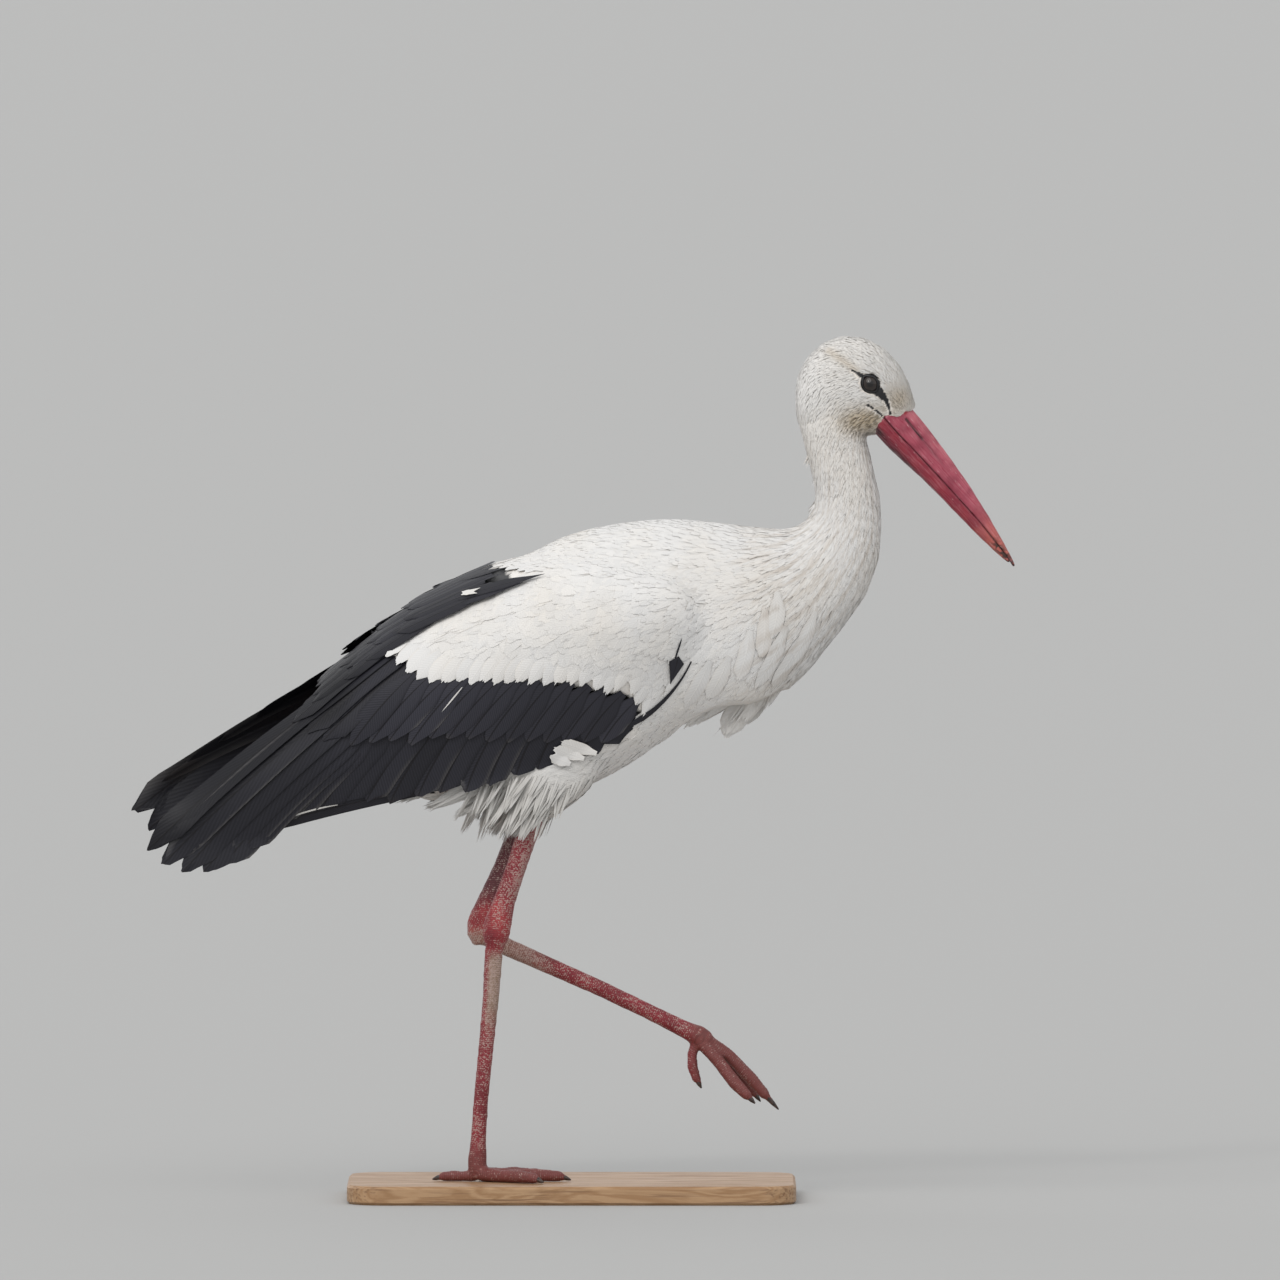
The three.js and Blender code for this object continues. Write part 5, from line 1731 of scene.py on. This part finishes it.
def make_wing(side, ground):
    """The feathers of one folded wing, from the lowest layer up."""
    black = ("plumage_black", BLACK_VANES, black_tint)
    white = ("plumage_white", SOFT_WHITE, white_tint)

    strip = wing_vanes(STRIP, 8, -5.0, 3, tilt=0.06)
    fan_lines = np.stack([along(FAN_ROOTS, len(FAN_TIPS)), np.array(FAN_TIPS, float)], axis=1)
    fan = wing_vanes(fan_lines, np.linspace(17, 14, len(FAN_TIPS)),
                     np.linspace(-4.6, -2.6, len(FAN_TIPS)), 7,
                     columns=12, rows=18, form=blade, blunt=0.09, ragged=0.015, tip_lift=3.4)
    inner_lines = np.array(INNER, float) + np.array([0, INNER_RISE[side]])
    inner = wing_vanes(inner_lines, INNER_HALF[side], [-6.5, -6.0, -5.5, -5.0], 5, rows=14,
                       tilt=0.10)
    wing_piece(f"primary_feathers_{side}", side, [strip, fan, inner], *black,
               replaces=[f"primaries_{side}"])

    lines = rails(SECONDARY_ROOTS, SECONDARY_TIPS, SECONDARIES, 1.5)[::-1]
    built = wing_vanes(lines, 16, np.linspace(-1.4, -4.0, SECONDARIES), 4, blunt=0.12)
    wing_piece(f"secondary_feathers_{side}", side, [built], *black,
               replaces=[f"secondaries_{side}"])

    built = wing_vanes(TERTIALS[::-1], 14, -4.2, 4, blunt=0.12, tip_lift=4.4)
    wing_piece(f"tertial_feathers_{side}", side, [valley(), built], *black,
               replaces=[f"tertials_{side}"])

    lines = rails(COVERT_ROOTS, COVERT_TIPS, GREATER_COVERTS, 1.5)[::-1]
    built = wing_vanes(lines, 13.0, np.linspace(-0.6, 0.6, GREATER_COVERTS), 3, form=rounded,
                       blunt=0.34, ragged=0.04, camber=0.08)
    wing_piece(f"greater_covert_feathers_{side}", side, [built], "plumage_black", BLACK_VANES,
               sheen_and_rim_tint, replaces=[f"greater_coverts_{side}"])

    def in_white(points):
        top_side = np.interp(points[:, 0], WING_ROWS[:, 0], WING_ROWS[:, 3]) - 4
        own_side = points[:, 1] * SIDES[side] > top_side
        wrist = (points[:, 0] > WRIST[0] + 6) & (points[:, 2] > WRIST[1])
        return inside(side_view(points), WHITE_ZONE) & own_side & ~wrist

    roots = seeded_roots(ground, WING_LIE, WING_CANDIDATES, in_white)
    paths, uppers, half = coat_over(ground, roots, WING_LIE, 4)
    stays = inside(side_view(paths[:, -1]) + np.array([3, -3]), WHITE_ZONE)
    paths, uppers, half, roots = kept(stays, paths, uppers, half, roots)
    built = vanes(paths, uppers, half, 6, 4, rounded, 0.45, 0.14, 0.05)
    white_piece(f"white_coverts_{side}", built, SOFT_WHITE, roots, [f"coverts_{side}"])

    edge = rails(WHITE_ROOTS, WHITE_TIPS, EDGE_COVERTS, 1.4)
    rim = wing_vanes(edge, rng.uniform(6.6, 8.8, EDGE_COVERTS), -2.4, 0, columns=14, rows=10,
                     form=fringe, blunt=0.30, ragged=0.16, camber=0.12, tilt=0, tip_lift=4.0)
    shaft = wing_vanes(SHAFT, 0.8, -2.8, 2, tilt=0)
    spot = wing_vanes(SPOT, 4.0, 3.6, 0, columns=8, rows=8, form=kite, blunt=0.2, ragged=0.25,
                      tilt=0)
    barb = wing_vanes(BARB, 0.7, 2.4, 0, columns=2, form=slender, tilt=0)
    light = [rim, spot, barb] + ([shaft] if side == "right" else [])
    wing_piece(f"white_edge_{side}", side, light, *white)
    flank = wing_vanes(FLANK, 6.0, [0.6, 1.0, 1.4], 0, columns=14, rows=8, form=rounded, blunt=0.2,
                       ragged=0.18, tilt=0, tip_lift=0.8)
    wing_piece(f"flank_feathers_{side}", side, [flank], *white)
    lobes = marks(ground, side, BREAST_LOBES, 8.0, 3.9, rounded, columns=12)
    white_piece(f"breast_lobes_{side}", lobes, SOFT_WHITE)

    lines, lifts = scapulars(SCAPULAR_END[side])
    rows = wing_vanes(lines, LANE_HALF, lifts, 0, columns=8, rows=10, blunt=0.12, ragged=0.04,
                      tilt=0, camber=0.12, tip_lift=0.8)
    fingers = wing_vanes(FINGERS, [7.0, 6.5, 7.0, 8.5], [2.0, 2.0, 1.6, 1.0], 1, form=spear, tilt=0)
    wing_piece(f"scapular_feathers_{side}", side, [rows, fingers], *black,
               replaces=[f"scapulars_{side}"])

    dark = [marks(ground, side, ALULA, 8.5, 4.6, wedge),
            marks(ground, side, ALULA_SLIT, 1.0, 3.9, slender),
            marks(ground, side, LEADING_LINE, 5.0, 4.4, widening)]
    black_piece(f"alula_feathers_{side}", joined(dark))


# ---------------------------------------------------------------- tail

TAIL_ROOT = (-150, 446)
TAIL_TIP = (-350, 380)
TAIL_FEATHERS = 12


def make_tail():
    """Twelve tail feathers, each a little lower and further out than the one above it."""
    roots, tips, uppers = [], [], []
    for k in range(TAIL_FEATHERS):
        out = (k % 2 * 2 - 1) * (0.5 + k // 2) / 6
        low = abs(out) * 3.5
        roots.append((TAIL_ROOT[0], out * 12, TAIL_ROOT[1] - low))
        tips.append((TAIL_TIP[0] + abs(out) * 14, out * 24, TAIL_TIP[1] - low))
        uppers.append((0.28, out * 0.5, 1))
    roots, tips = np.array(roots, float), np.array(tips, float)
    uppers = unit(np.array(uppers, float))
    each = np.ones(TAIL_FEATHERS)
    built = free_vanes(roots, tips, uppers, each * 12.0, each * 3.0, 8, 14, quill, 0.12, 0.04, 0.08)
    white_piece("tail_feathers", built, SOFT_WHITE, replaces=["tail"])


# ---------------------------------------------------------------- the whole scene

make_camera()
make_floor()
make_light()
FINE_WHITE = white_material("fine white vanes", 26.0, 0.04)
SOFT_WHITE = white_material("soft white vanes", 90.0, 0.05)
BLACK_VANES = black_material()

surfaces = make_skin()
make_bill()
make_eyes()
make_claws()
make_base()
head_coat(surfaces["face"])
body_coat(surfaces["body"])
white_lots("hanging_plumes", bunches() + thigh_plumes(surfaces["body"]), SOFT_WHITE)
white_lots("nape_locks", nape_locks(), FINE_WHITE)
for wing in SIDES:
    make_wing(wing, surfaces["body"])
make_tail()

visual_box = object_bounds()
boxes = [[list(map(float, corner)) for corner in box] for box in (CAD_BOX, visual_box)]
